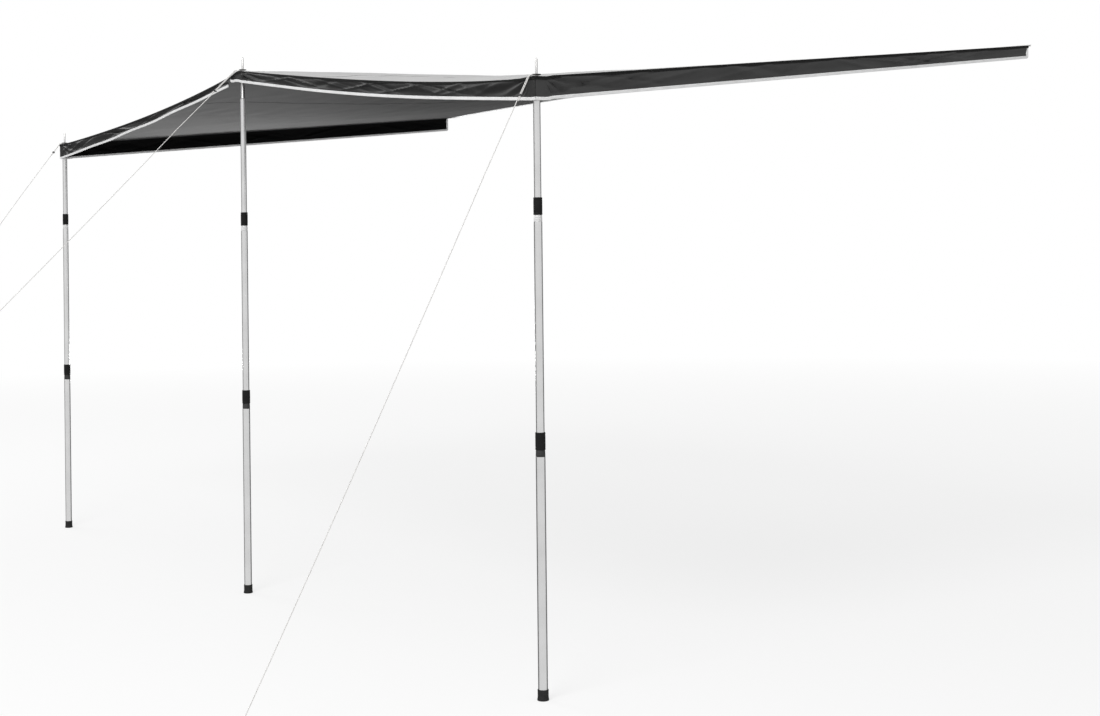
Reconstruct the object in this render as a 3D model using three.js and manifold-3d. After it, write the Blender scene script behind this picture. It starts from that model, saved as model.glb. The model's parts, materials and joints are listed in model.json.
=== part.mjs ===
// Sun canopy for a caravan's side wall: one sheet held at its rear edge in the awning rail and
// carried along its front edge by three telescopic poles, each held down by a guy line.
// Millimetres. The origin is the middle of the keder bead, +X runs along the rail to the right as
// seen from the front, +Y points into the wall, +Z is up, and the ground lies at z = -railHeight.

import * as THREE from 'three';
import { mergeVertices } from 'three/addons/utils/BufferGeometryUtils.js';
import Module from 'manifold-3d';

const manifold = await Module();
manifold.setup();

// Whole canopy
const poleSpan = 4420; // between the axes of the two corner poles
const canopyDepth = 2450; // from the keder bead to the row of poles
const railHeight = 2320; // keder bead above the ground, at its middle
const railArch = 40; // how much lower the bead lies at its ends
const cornerHeight = { left: 2056, right: 2036 }; // sheet above the ground at the corner poles
const ridgeHeight = 2250; // sheet above the ground at the middle pole
const edgeInset = 20; // from an eyelet's middle to the sheet's edges

// Clearances
const seatGap = 0.3; // between pieces that touch
const cutOverrun = 5; // how far a cutting solid runs past what it cuts

// Roof sheet
const clothThickness = 1.6;
const baySag = 50; // how far each bay hangs below a straight sheet
const ridgeRounding = 40; // half width of the rounded top over the middle pole
const frontRoll = { left: 36, right: 27 }; // how far the front edge droops between two poles
const rollFullness = 0.65; // below 1, that droop sets in close to the poles
const rollShareOutward = { left: -0.25, right: 0.4 }; // how much more of it hangs by the corner pole
const rollDepth = 500; // over which the roof bends down to that edge
const plateauReach = 36; // level patch round each eyelet, from its middle
const roofEndClearance = 14; // between the sheet's rear edge and the keder bead
const bayColumns = 11; // columns of the sheet's grid in each half
const roofRows = 9;

// Valances
const cornerDrop = 66; // height at the corner poles, without the hem binding
const ridgeDrop = 38; // height at the middle pole
const hemSag = { left: 16, right: 23 }; // how much lower the front hem hangs between two poles
const rearDrop = { left: 64, right: 40 }; // height of the side valances at the wall
const valanceThickness = 1.6;
const foldDepth = 5; // sideways swing of the hanging folds at the hem
const frontFolds = 4; // folds along each half of the front
const sideFolds = 3;
const notchStart = 104; // left valance's end, to the left of the middle pole
const notchEnd = 80; // right valance's end, to the left of the middle pole
const notchHeight = 10; // right valance's height at that end
const notchRun = 110; // over which the right valance grows to its full height
const valanceColumns = 24;
const sideColumns = 20;
const valanceRows = 3;

// Hem binding
const bindingHeight = 11;
const bindingThickness = 3;

// Keder
const kederRadius = 3.75;
const kederFlangeLength = 26; // from the bead's middle
const kederFlangeThickness = 1.2;
const kederSegments = 12;

// Eyelets
const eyeletClearance = 1.4; // round the spike, so that the pole can tilt
const eyeletWall = 1.4;
const eyeletFlangeWidth = 8;
const eyeletFlangeThickness = 1.1;
const eyeletSegments = 20;

// Pole tubes
const tubeWall = 0.8;
const tubeClearance = 1.2; // between a tube and the next one inside it
const lowerTubeRadius = 16;
const middleTubeOverlap = 133; // of its length below the lower lock's top, on the middle pole
const upperTubeOverlap = 192; // of its length below the upper lock's top, on the tallest pole
const lowerLockTop = 875; // top of the lower twist lock above the ground
const upperLockTop = { left: 1682, middle: 1642, right: 1642 }; // the same of the upper one
const tubeSegments = 24;

// Twist locks
const lockCollarHeight = 57;
const lockCollarWall = 1.2;
const lockRibHeight = 0.5;
const lockRibs = 16;
const lockNeckHeight = 22; // neck that shows between collar and tube
const lockNeckTaper = 0.8;
const lockFingerClearance = 3; // between the clamp fingers' ends and the collar's lip
const lockLipHeight = 8; // closes the collar's top round the inner tube
const lockSpigotLength = 18; // pushed into the tube below
const lockSegments = 24;

// Inner guides
const guideHeight = 30;
const guideSpigotLength = 22; // pushed into the tube above
const guideSegments = 16;

// Feet
const footHeight = 36;
const footFloor = 6; // rubber under the tube
const footWall = 1.6;
const footFlare = 1.6; // how much wider the foot is at the ground
const footChamfer = 1.6;
const footSegments = 24;

// Spikes
const spikeRadius = 4;
const spikeLength = 62; // above the sheet
const spikeTipLength = 5;
const spikeTipRadius = 1.6;
const spikeCapRim = 2; // height of the cap's rim on the tube
const spikePlugLength = 34;
const capDome = 2.4; // rise of the cap under the eyelet
const spikeSegments = 16;

// Washers on the spikes
const washerRadius = 16;
const washerThickness = 3.2;
const washerClearance = 1.6; // round the spike
const washerSegments = 20;

// Guy lines
const lineDiameter = 3;
const loopClearance = 0.9; // between the line's loop and the spike
const edgeBendRadius = 9; // of the line's middle over the sheet's front edge
const edgeBendLead = 2; // the bend starts this far behind the edge
const straightRun = 350; // the line runs straight this far before it sags
const lineSag = { left: 16, middle: 24, right: 12 };
const tailLength = 14; // beyond the slider
const lineSides = 8;
const loopSteps = 8; // in half a turn
const bendSteps = 4;
const sagSteps = 9;
const pegTurn = THREE.MathUtils.degToRad(280); // how far the line goes round its peg

// Sliders on the guy lines
const sliderEnds = 4.8; // beyond each hole
const sliderSides = 3.2; // on both sides of a hole
const sliderThickness = 6;
const sliderClearance = 0.8; // round the line in a hole
const sliderFromEdge = { left: 55, middle: 120, right: 68 };
const sliderHoleSegments = 10;
const sliderEndSegments = 6;

// Pegs, where each stands outward from the row and along it from its pole, and its shape
const pegOut = { left: 1500, middle: 1850, right: 950 };
const pegAlong = { left: -232, middle: -1469, right: -251 };
const pegRadius = 3;
const pegHeight = 48; // above the ground
const pegLean = THREE.MathUtils.degToRad(25);
const pegHookRadius = 8;
const pegHookTip = 6; // straight end of the hook
const pegSides = 8;
const pegHookSteps = 6;
const lineHeightOnPeg = 16; // above the ground

// Sizes and places that follow from the sizes above
const middleTubeRadius = lowerTubeRadius - tubeWall - tubeClearance;
const upperTubeRadius = middleTubeRadius - tubeWall - tubeClearance;
const middleTubeLength = upperLockTop.middle - lowerLockTop + middleTubeOverlap;
const tallestPole = Math.max(cornerHeight.left, cornerHeight.right, ridgeHeight);
const upperTubeLength = tallestPole - upperLockTop.middle + upperTubeOverlap;
const lockFingerLength = lockCollarHeight - lockLipHeight - lockFingerClearance;
const eyeletBore = spikeRadius + eyeletClearance;
const washerBore = spikeRadius + washerClearance;
const loopRadius = spikeRadius + loopClearance + lineDiameter / 2;
const sliderHole = lineDiameter / 2 + sliderClearance;
const sliderWidth = 2 * (loopRadius + sliderHole + sliderEnds);
const sliderDepth = 2 * (sliderHole + sliderSides);
const halfSpan = poleSpan / 2;
const frontEdge = -canopyDepth - edgeInset;
const sideEdge = halfSpan + edgeInset;
const ground = -railHeight;
const ridgeFall = railHeight - ridgeHeight;

const poles = [
  { name: 'left', x: -halfSpan },
  { name: 'middle', x: 0 },
  { name: 'right', x: halfSpan },
];

const roofCloth = new THREE.MeshStandardMaterial({ color: 0xa9abad, roughness: 0.8 });
const cloth = new THREE.MeshStandardMaterial({ color: 0x2b2c2e, roughness: 0.85 });
const binding = new THREE.MeshStandardMaterial({ color: 0xe9e9e6, roughness: 0.7 });
const steel = new THREE.MeshStandardMaterial({ color: 0xb8bbbe, roughness: 0.32, metalness: 1 });
const zinc = new THREE.MeshStandardMaterial({ color: 0x9fa2a4, roughness: 0.45, metalness: 1 });
const blackPlastic = new THREE.MeshStandardMaterial({ color: 0x131313, roughness: 0.5 });
const greyPlastic = new THREE.MeshStandardMaterial({ color: 0x3f4143, roughness: 0.55 });
const rubber = new THREE.MeshStandardMaterial({ color: 0x0f0f0f, roughness: 0.85 });
const cord = new THREE.MeshStandardMaterial({ color: 0xd6d6d2, roughness: 0.8 });

// A geometry as one closed body: shared vertices merged, flat triangles dropped, facing out.
function closedBody(geometry) {
  geometry.deleteAttribute('normal');
  geometry.deleteAttribute('uv');
  const merged = mergeVertices(geometry);
  const position = merged.getAttribute('position');
  const index = merged.index.array;
  const kept = [];
  let volume = 0;
  const [a, b, c] = [new THREE.Vector3(), new THREE.Vector3(), new THREE.Vector3()];
  for (let i = 0; i < index.length; i += 3) {
    const [ia, ib, ic] = [index[i], index[i + 1], index[i + 2]];
    if (ia === ib || ib === ic || ic === ia) continue;
    kept.push(ia, ib, ic);
    a.fromBufferAttribute(position, ia);
    b.fromBufferAttribute(position, ib);
    c.fromBufferAttribute(position, ic);
    volume += a.dot(b.clone().cross(c));
  }
  if (volume < 0) kept.reverse();
  merged.setIndex(kept);
  return merged;
}

function toSolid(geometry) {
  const body = closedBody(geometry);
  return new manifold.Manifold(new manifold.Mesh({
    numProp: 3,
    vertProperties: new Float32Array(body.getAttribute('position').array),
    triVerts: new Uint32Array(body.index.array),
  }));
}

function fromSolid(solid) {
  const mesh = solid.getMesh();
  const geometry = new THREE.BufferGeometry();
  geometry.setAttribute('position', new THREE.BufferAttribute(mesh.vertProperties, 3));
  geometry.setIndex(new THREE.BufferAttribute(mesh.triVerts, 1));
  return geometry;
}

// A body turned about +Z from a closed outline of [radius, height] points.
function turned(outline, segments) {
  const points = outline.map(([radius, height]) => new THREE.Vector2(radius, height));
  points.push(points[0].clone());
  return closedBody(new THREE.LatheGeometry(points, segments).rotateX(Math.PI / 2));
}

function ring(inner, outer, low, high, segments) {
  return turned([[inner, low], [outer, low], [outer, high], [inner, high]], segments);
}

// A round bar of the given radius along a curve.
function barAlong(curve, radius, sides, steps) {
  const section = new THREE.Shape(Array.from({ length: sides }, (_, i) => {
    const angle = (i / sides) * 2 * Math.PI;
    return new THREE.Vector2(radius * Math.cos(angle), radius * Math.sin(angle));
  }));
  return closedBody(new THREE.ExtrudeGeometry(section, { steps, extrudePath: curve }));
}

// A closed sheet: a grid of middle points, thickened along the direction that `side` gives.
function thickSheet(grid, thickness, side) {
  const rows = grid.length;
  const columns = grid[0].length;
  const vertices = [];
  for (const half of [thickness / 2, -thickness / 2]) {
    grid.forEach((row, r) => row.forEach((point, c) => {
      vertices.push(...point.clone().addScaledVector(side(r, c), half).toArray());
    }));
  }
  const at = (layer, r, c) => (layer * rows + r) * columns + c;
  const faces = [];
  const quad = (p, q, s, t) => faces.push(p, q, s, p, s, t);
  for (let r = 0; r + 1 < rows; r += 1) {
    for (let c = 0; c + 1 < columns; c += 1) {
      quad(at(0, r, c), at(0, r, c + 1), at(0, r + 1, c + 1), at(0, r + 1, c));
      quad(at(1, r, c), at(1, r + 1, c), at(1, r + 1, c + 1), at(1, r, c + 1));
    }
  }
  for (let c = 0; c + 1 < columns; c += 1) {
    quad(at(0, 0, c), at(1, 0, c), at(1, 0, c + 1), at(0, 0, c + 1));
    quad(at(0, rows - 1, c + 1), at(1, rows - 1, c + 1), at(1, rows - 1, c), at(0, rows - 1, c));
  }
  for (let r = 0; r + 1 < rows; r += 1) {
    quad(at(0, r + 1, 0), at(1, r + 1, 0), at(1, r, 0), at(0, r, 0));
    quad(at(0, r, columns - 1), at(1, r, columns - 1), at(1, r + 1, columns - 1), at(0, r + 1, columns - 1));
  }
  const geometry = new THREE.BufferGeometry();
  geometry.setAttribute('position', new THREE.Float32BufferAttribute(vertices, 3));
  geometry.setIndex(faces);
  return closedBody(geometry);
}

function piece(name, geometry, material, x = 0, y = 0, z = 0) {
  const mesh = new THREE.Mesh(geometry, material);
  mesh.name = name;
  mesh.position.set(x, y, z);
  return mesh;
}

function sideOf(x) {
  return x < 0 ? 'left' : 'right';
}

// 0 at the poles and 1 halfway between two of them.
function bayShape(x) {
  return Math.sin(Math.PI * Math.min(Math.abs(x) / halfSpan, 1));
}

// How far a straight front edge lies below the rail.
function frontFall(x) {
  const rounded = Math.hypot(x, ridgeRounding) - ridgeRounding;
  const whole = Math.hypot(halfSpan, ridgeRounding) - ridgeRounding;
  const cornerFall = railHeight - cornerHeight[sideOf(x)];
  return ridgeFall + (cornerFall - ridgeFall) * Math.min(rounded / whole, 1);
}

// How far the arched rail has come down at x.
function railFall(x) {
  return railArch * (x / sideEdge) ** 2;
}

// Height of the roof sheet's middle surface.
function roofHeight(x, y) {
  const reach = Math.min(-y / canopyDepth, 1);
  const fromEdge = Math.min((y - frontEdge) / rollDepth, 1);
  const outward = 1 + rollShareOutward[sideOf(x)] * ((2 * Math.abs(x)) / halfSpan - 1);
  const droop = frontRoll[sideOf(x)] * bayShape(x) ** rollFullness * outward;
  const roll = droop * (1 - fromEdge) ** 2;
  const sag = baySag * bayShape(x) ** 2 * Math.sin(Math.PI * reach);
  return -reach * frontFall(x) - (1 - reach) * railFall(x) - roll - sag;
}

// The poles' tops hold the sheet level round each eyelet.
function roofPoint(x, y) {
  const pole = poles.find((one) => Math.abs(x - one.x) <= plateauReach);
  const level = pole && Math.abs(y + canopyDepth) <= plateauReach;
  const z = level ? roofHeight(pole.x, -canopyDepth) : roofHeight(x, y);
  return new THREE.Vector3(x, y, z);
}

const up = new THREE.Vector3(0, 0, 1);

function roofColumns() {
  const half = [plateauReach];
  const first = plateauReach;
  const last = halfSpan - plateauReach;
  for (let i = 1; i < bayColumns; i += 1) half.push(first + ((last - first) * i) / bayColumns);
  half.push(last, sideEdge);
  return [...half.map((x) => -x).reverse(), ...half];
}

function roofLines() {
  const rear = -roofEndClearance;
  const front = -canopyDepth + plateauReach;
  const lines = [];
  for (let i = 0; i <= roofRows; i += 1) lines.push(rear + ((front - rear) * (1 - (1 - i / roofRows) ** 1.5)));
  lines.push(frontEdge);
  return lines;
}

function makeRoof() {
  const grid = roofLines().map((y) => roofColumns().map((x) => roofPoint(x, y)));
  let sheet = toSolid(thickSheet(grid, clothThickness, () => up));
  const holeRadius = eyeletBore + eyeletWall + seatGap;
  for (const pole of poles) {
    const top = roofHeight(pole.x, -canopyDepth);
    const hole = new THREE.CylinderGeometry(holeRadius, holeRadius, 2 * cutOverrun, eyeletSegments);
    hole.rotateX(Math.PI / 2).translate(pole.x, -canopyDepth, top);
    sheet = sheet.subtract(toSolid(hole));
  }
  return piece('roof_panel', fromSolid(sheet), roofCloth);
}

// Heights along the roof's rim between its grid points, where its edge is straight.
function alongGrid(places, heightAt, place) {
  const sorted = [...places].sort((a, b) => a - b);
  const found = sorted.findIndex((one) => one >= place);
  const next = found < 0 ? sorted.length - 1 : Math.max(found, 1);
  const [low, high] = [sorted[next - 1], sorted[next]];
  return THREE.MathUtils.mapLinear(place, low, high, heightAt(low), heightAt(high));
}

const underRoof = clothThickness / 2 + seatGap;

function frontTop(x) {
  return alongGrid(roofColumns(), (at) => roofPoint(at, frontEdge).z, x) - underRoof;
}

// Top of a side valance. side is 1 on the right and -1 on the left.
function sideTop(side, y) {
  return alongGrid(roofLines(), (at) => roofPoint(side * sideEdge, at).z, y) - underRoof;
}

// Hem of the front valance. Beside the middle pole the right one is cut away to a notch.
function frontHem(x) {
  const straight = -frontFall(x) - underRoof;
  const drop = THREE.MathUtils.lerp(ridgeDrop, cornerDrop, Math.min(Math.abs(x) / halfSpan, 1));
  const hem = straight - drop - hemSag[sideOf(x)] * bayShape(x);
  const intoNotch = THREE.MathUtils.clamp((x + notchEnd) / notchRun, 0, 1);
  const full = frontTop(x) - hem;
  const shown = x > -notchStart ? notchHeight + (full - notchHeight) * Math.sqrt(intoNotch) : full;
  return frontTop(x) - shown;
}

function sideHem(side, y) {
  const reach = Math.min(-y / canopyDepth, 1);
  return sideTop(side, y) - THREE.MathUtils.lerp(rearDrop[sideOf(side)], cornerDrop, reach);
}

function spaced(from, to, count) {
  return Array.from({ length: count + 1 }, (_, i) => from + ((to - from) * i) / count);
}

// Places for a valance's columns: even ones, with the roof's own grid places that they skip.
function withGrid(even, gridPlaces) {
  const [low, high] = [Math.min(...even), Math.max(...even)];
  const near = (valanceThickness + bindingThickness) * 2;
  const own = gridPlaces.filter((place) => place > low + near && place < high - near);
  const inner = even.filter((place) => own.every((one) => Math.abs(one - place) > near));
  const ends = [low, high].filter((place) => !inner.includes(place));
  return [...inner, ...own, ...ends].sort((a, b) => a - b);
}

// A strip that hangs from `top` to `hem` at each place, swinging out by its folds at the hem.
function hanging(places, top, hem, swing, placeAt, outward) {
  const grid = spaced(0, 1, valanceRows).map((down) => places.map((place) => {
    const z = THREE.MathUtils.lerp(top(place), hem(place), down);
    return placeAt(place, z).addScaledVector(outward, swing(place) * down ** 1.5);
  }));
  return thickSheet(grid, valanceThickness, () => outward);
}

// The binding folded over a hem, as a strip between an inner and an outer line of points.
function bindingStrip(inner, outer, outward) {
  return thickSheet([inner, outer], bindingThickness, () => outward);
}

const toFront = new THREE.Vector3(0, -1, 0);

function frontSwing(x) {
  return foldDepth * Math.sin((2 * Math.PI * frontFolds * Math.abs(x)) / halfSpan) * bayShape(x);
}

function sideSwing(y) {
  const reach = Math.min(-y / canopyDepth, 1);
  return foldDepth * Math.sin(2 * Math.PI * sideFolds * reach) * Math.sin(Math.PI * reach);
}

function makeFrontValance(name, from, to) {
  const middlePlane = frontEdge + valanceThickness / 2;
  const place = (x, z) => new THREE.Vector3(x, middlePlane, z);
  const places = withGrid(spaced(from, to, valanceColumns), roofColumns());
  const strip = hanging(places, frontTop, frontHem, frontSwing, place, toFront);
  const edge = (below) => places.map((x) => (
    place(x, frontHem(x) - below).addScaledVector(toFront, frontSwing(x))));
  const hem = bindingStrip(edge(seatGap), edge(seatGap + bindingHeight), toFront);
  return [piece(`front_valance_${name}`, strip, cloth), piece(`front_binding_${name}`, hem, binding)];
}

function makeSideValance(name, side) {
  const outward = new THREE.Vector3(side, 0, 0);
  const middlePlane = side * (sideEdge - valanceThickness / 2);
  const place = (y, z) => new THREE.Vector3(middlePlane, y, z);
  const front = frontEdge + (valanceThickness + bindingThickness) / 2 + seatGap;
  const rear = -roofEndClearance - bindingHeight - seatGap;
  const places = withGrid(spaced(front, rear, sideColumns), roofLines());
  const top = (y) => sideTop(side, y);
  const hem = (y) => sideHem(side, y);
  const strip = hanging(places, top, hem, sideSwing, place, outward);
  const edge = (below) => places.map((y) => (
    place(y, hem(y) - below).addScaledVector(outward, sideSwing(y))));
  // The binding turns the corner at the wall and runs up the valance's end.
  const inner = [...edge(seatGap), place(rear + seatGap, hem(rear) - seatGap)];
  const outer = [...edge(seatGap + bindingHeight)];
  outer.push(place(rear + seatGap + bindingHeight, hem(rear) - seatGap - bindingHeight));
  inner.push(place(rear + seatGap, top(rear)));
  outer.push(place(rear + seatGap + bindingHeight, top(rear)));
  const tape = bindingStrip(inner, outer, outward);
  return [piece(`side_valance_${name}`, strip, cloth), piece(`side_binding_${name}`, tape, binding)];
}

// A bead along the arched rail, with a flange that lies on the sheet's rear margin.
function makeKeder() {
  const rail = new Route(roofColumns().map((x) => new THREE.Vector3(x, 0, -railFall(x))));
  const bead = barAlong(rail, kederRadius, kederSegments, rail.points.length - 1);
  const lift = underRoof + kederFlangeThickness / 2;
  const places = spaced(-kederRadius / 2, -kederFlangeLength, 1);
  const grid = places.map((y) => roofColumns().map((x) => (
    new THREE.Vector3(x, y, alongGrid(roofLines(), (at) => roofPoint(x, at).z, y) + lift))));
  const flange = thickSheet(grid, kederFlangeThickness, () => up);
  return piece('keder', fromSolid(toSolid(bead).add(toSolid(flange))), binding);
}

// One telescopic pole, from the ground up to the sheet's eyelet.
function makePole({ name, x }) {
  const roof = roofHeight(x, -canopyDepth);
  const flangeFace = clothThickness / 2 + seatGap + eyeletFlangeThickness;
  const capTop = roof - flangeFace - seatGap;
  const capFoot = capTop - capDome - spikeCapRim;
  const upperTop = capFoot - seatGap;
  const upperLow = upperTop - upperTubeLength;
  const below = (lockTop) => ground + lockTop - lockCollarHeight - lockNeckHeight - 2 * seatGap;
  const middleTop = below(upperLockTop[name]);
  const middleLow = middleTop - middleTubeLength;
  const lowerTop = below(lowerLockTop);
  const tube = (part, radius, low, high) => piece(
    `${name}_${part}_tube`, ring(radius - tubeWall, radius, low, high, tubeSegments), steel);
  const parts = [
    tube('upper', upperTubeRadius, upperLow, upperTop),
    tube('middle', middleTubeRadius, middleLow, middleTop),
    tube('lower', lowerTubeRadius, ground + footFloor + seatGap, lowerTop),
    piece(`${name}_upper_lock_body`, lockBody(middleTubeRadius, upperTubeRadius, middleTop), greyPlastic),
    piece(`${name}_upper_lock_collar`, lockCollar(middleTubeRadius, upperTubeRadius, middleTop), blackPlastic),
    piece(`${name}_lower_lock_body`, lockBody(lowerTubeRadius, middleTubeRadius, lowerTop), greyPlastic),
    piece(`${name}_lower_lock_collar`, lockCollar(lowerTubeRadius, middleTubeRadius, lowerTop), blackPlastic),
    piece(`${name}_upper_guide`, guide(middleTubeRadius, upperTubeRadius, upperLow), blackPlastic),
    piece(`${name}_lower_guide`, guide(lowerTubeRadius, middleTubeRadius, middleLow), blackPlastic),
    piece(`${name}_foot`, foot(), rubber),
    piece(`${name}_spike`, spike(capTop - capFoot, roof - capFoot), zinc, 0, 0, capFoot),
    piece(`${name}_washer`, washer(), blackPlastic, 0, 0, roof + flangeFace + lineDiameter + 2 * seatGap),
    piece(`${name}_eyelet`, eyelet(), zinc, 0, 0, roof),
  ];
  const pole = new THREE.Group();
  pole.position.set(x, -canopyDepth, 0);
  pole.add(...parts);
  return pole;
}

// The clamp body on a tube's end: a spigot in the tube, the neck that shows and the fingers.
function lockBody(outerTube, innerTube, tubeTop) {
  const bore = innerTube + seatGap;
  const sleeve = outerTube - tubeWall - seatGap;
  const neckTop = lockNeckHeight;
  const body = turned([
    [bore, -lockSpigotLength], [sleeve, -lockSpigotLength], [sleeve, 0], [outerTube, 0],
    [outerTube - lockNeckTaper, neckTop], [sleeve, neckTop],
    [sleeve, neckTop + lockFingerLength], [bore, neckTop + lockFingerLength],
  ], lockSegments);
  return body.translate(0, 0, tubeTop + seatGap);
}

// The ribbed collar that turns on the fingers and closes round the inner tube with a lip.
function lockCollar(outerTube, innerTube, tubeTop) {
  const bore = outerTube - tubeWall;
  const outside = bore + lockCollarWall;
  const ribbed = new THREE.Shape(spaced(0, 2 * Math.PI, 2 * lockRibs).slice(0, -1).map((angle, i) => {
    const radius = outside + (i % 2 ? 0 : lockRibHeight);
    return new THREE.Vector2(radius * Math.cos(angle), radius * Math.sin(angle));
  }));
  const sleeve = new THREE.ExtrudeGeometry(ribbed, { depth: lockCollarHeight, bevelEnabled: false });
  const lip = lockCollarHeight - lockLipHeight;
  const past = lockCollarHeight + cutOverrun;
  const hollow = turned([
    [0, -cutOverrun], [bore, -cutOverrun], [bore, lip], [innerTube + seatGap, lip],
    [innerTube + seatGap, past], [0, past],
  ], lockSegments);
  const collar = fromSolid(toSolid(sleeve).subtract(toSolid(hollow)));
  return collar.translate(0, 0, tubeTop + lockNeckHeight + 2 * seatGap);
}

// The plug on an inner tube's lower end, which slides in the tube around it.
function guide(outerTube, innerTube, tubeEnd) {
  const disc = outerTube - tubeWall - seatGap;
  const spigot = innerTube - tubeWall - seatGap;
  const plug = turned([
    [0, -guideHeight], [disc, -guideHeight], [disc, 0], [spigot, 0],
    [spigot, guideSpigotLength], [0, guideSpigotLength],
  ], guideSegments);
  return plug.translate(0, 0, tubeEnd - seatGap);
}

function foot() {
  const inside = lowerTubeRadius + seatGap;
  const outside = inside + footWall;
  const wide = outside + footFlare;
  const cup = turned([
    [0, 0], [wide - footChamfer, 0], [wide, footChamfer], [outside, footHeight / 2],
    [outside, footHeight], [inside, footHeight], [inside, footFloor], [0, footFloor],
  ], footSegments);
  return cup.translate(0, 0, ground);
}

// Plug, domed cap and pin. Its own zero is the cap's lower face, which sits on the tube.
function spike(capTop, roof) {
  const plug = upperTubeRadius - tubeWall - seatGap;
  const flank = (share) => {
    const radius = THREE.MathUtils.lerp(upperTubeRadius, spikeRadius, share);
    const drop = capDome * (radius / upperTubeRadius) ** 2;
    return [radius, capTop - drop];
  };
  const tip = roof + spikeLength;
  return turned([
    [0, -spikePlugLength], [plug, -spikePlugLength], [plug, 0], [upperTubeRadius, 0],
    ...spaced(0, 1, 2).map(flank),
    [spikeRadius, tip - spikeTipLength], [spikeTipRadius, tip], [0, tip],
  ], spikeSegments);
}

function washer() {
  return ring(washerBore, washerRadius, 0, washerThickness, washerSegments);
}

// The eyelet's barrel and both of its flanges, clamped over the sheet.
function eyelet() {
  const inner = clothThickness / 2 + seatGap;
  const outer = inner + eyeletFlangeThickness;
  const barrel = eyeletBore + eyeletWall;
  const rim = eyeletBore + eyeletFlangeWidth;
  return turned([
    [eyeletBore, -outer], [rim, -outer], [rim, -inner], [barrel, -inner],
    [barrel, inner], [rim, inner], [rim, outer], [eyeletBore, outer],
  ], eyeletSegments);
}

// A curve whose parameter counts its own points, so that tight bends keep all of theirs.
class Route extends THREE.Curve {
  constructor(points) {
    super();
    this.points = points;
  }

  getPoint(t) {
    const place = t * (this.points.length - 1);
    const before = Math.min(Math.floor(place), this.points.length - 2);
    return this.points[before].clone().lerp(this.points[before + 1], place - before);
  }

  getPointAt(u) {
    return this.getPoint(u);
  }

  getTangentAt(u) {
    const step = 0.5 / (this.points.length - 1);
    const [back, ahead] = [Math.max(u - step, 0), Math.min(u + step, 1)];
    return this.getPoint(ahead).sub(this.getPoint(back)).normalize();
  }
}

// Where a guy line runs: from its spike over the sheet's front edge and down to its peg.
function lineFrame({ name, x }) {
  const roof = roofHeight(x, -canopyDepth);
  const flangeFace = clothThickness / 2 + seatGap + eyeletFlangeThickness;
  const start = new THREE.Vector3(x, -canopyDepth, roof + flangeFace + seatGap + lineDiameter / 2);
  const ahead = new THREE.Vector3(pegAlong[name], -pegOut[name], 0).normalize();
  const aside = new THREE.Vector3().crossVectors(up, ahead);
  const peg = start.clone().add(new THREE.Vector3(pegAlong[name], -pegOut[name], 0)).setZ(ground);
  const bendStart = (edgeInset + loopRadius * Math.abs(aside.y)) / -ahead.y - edgeBendLead;
  const reach = Math.hypot(pegAlong[name], pegOut[name]) - bendStart;
  const slope = Math.atan2(start.z - ground - lineHeightOnPeg, reach);
  const down = ahead.clone().multiplyScalar(Math.cos(slope)).addScaledVector(up, -Math.sin(slope));
  return { start, ahead, aside, peg, bendStart, slope, down };
}

// The bend over the sheet's edge, on one side of the loop.
function edgeBend(frame, offset) {
  return spaced(0, frame.slope, bendSteps).map((angle) => frame.start.clone()
    .addScaledVector(frame.aside, offset)
    .addScaledVector(frame.ahead, frame.bendStart + edgeBendRadius * Math.sin(angle))
    .addScaledVector(up, edgeBendRadius * (Math.cos(angle) - 1)));
}

function pegAxis(frame) {
  return up.clone().multiplyScalar(Math.cos(pegLean)).addScaledVector(frame.ahead, Math.sin(pegLean));
}

// The doubled stretch down to the slider, the loop round the spike and the line to the peg.
function lineRoute(pole) {
  const frame = lineFrame(pole);
  const tail = edgeBend(frame, loopRadius);
  const main = edgeBend(frame, -loopRadius);
  const tailReach = sliderFromEdge[pole.name] + sliderThickness / 2 + tailLength;
  const tailEnd = tail[bendSteps].clone().addScaledVector(frame.down, tailReach);
  const loop = spaced(Math.PI / 2, (3 * Math.PI) / 2, loopSteps).map((angle) => frame.start.clone()
    .addScaledVector(frame.ahead, loopRadius * Math.cos(angle))
    .addScaledVector(frame.aside, loopRadius * Math.sin(angle)));
  const axis = pegAxis(frame);
  const past = new THREE.Vector3().crossVectors(frame.aside, axis).normalize();
  const slack = loopRadius - lineDiameter / 2 - pegRadius - seatGap;
  const centre = frame.peg.clone().addScaledVector(axis, lineHeightOnPeg / Math.cos(pegLean))
    .addScaledVector(past, -slack);
  const round = spaced(0, pegTurn, 2 * loopSteps).map((angle) => centre.clone()
    .addScaledVector(frame.aside, -loopRadius * Math.cos(angle))
    .addScaledVector(past, loopRadius * Math.sin(angle)));
  const from = main[bendSteps].clone().addScaledVector(frame.down, straightRun);
  const to = round[0].clone().addScaledVector(frame.down, -loopRadius);
  const run = spaced(0, 1, sagSteps).map((share) => from.clone().lerp(to, share)
    .addScaledVector(up, -4 * lineSag[pole.name] * share * (1 - share)));
  return [tailEnd, ...tail.reverse(), ...loop, ...main, ...run, ...round];
}

function makeLine(pole) {
  const points = lineRoute(pole);
  const line = barAlong(new Route(points), lineDiameter / 2, lineSides, points.length - 1);
  return piece(`${pole.name}_guy_line`, line, cord);
}

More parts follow.
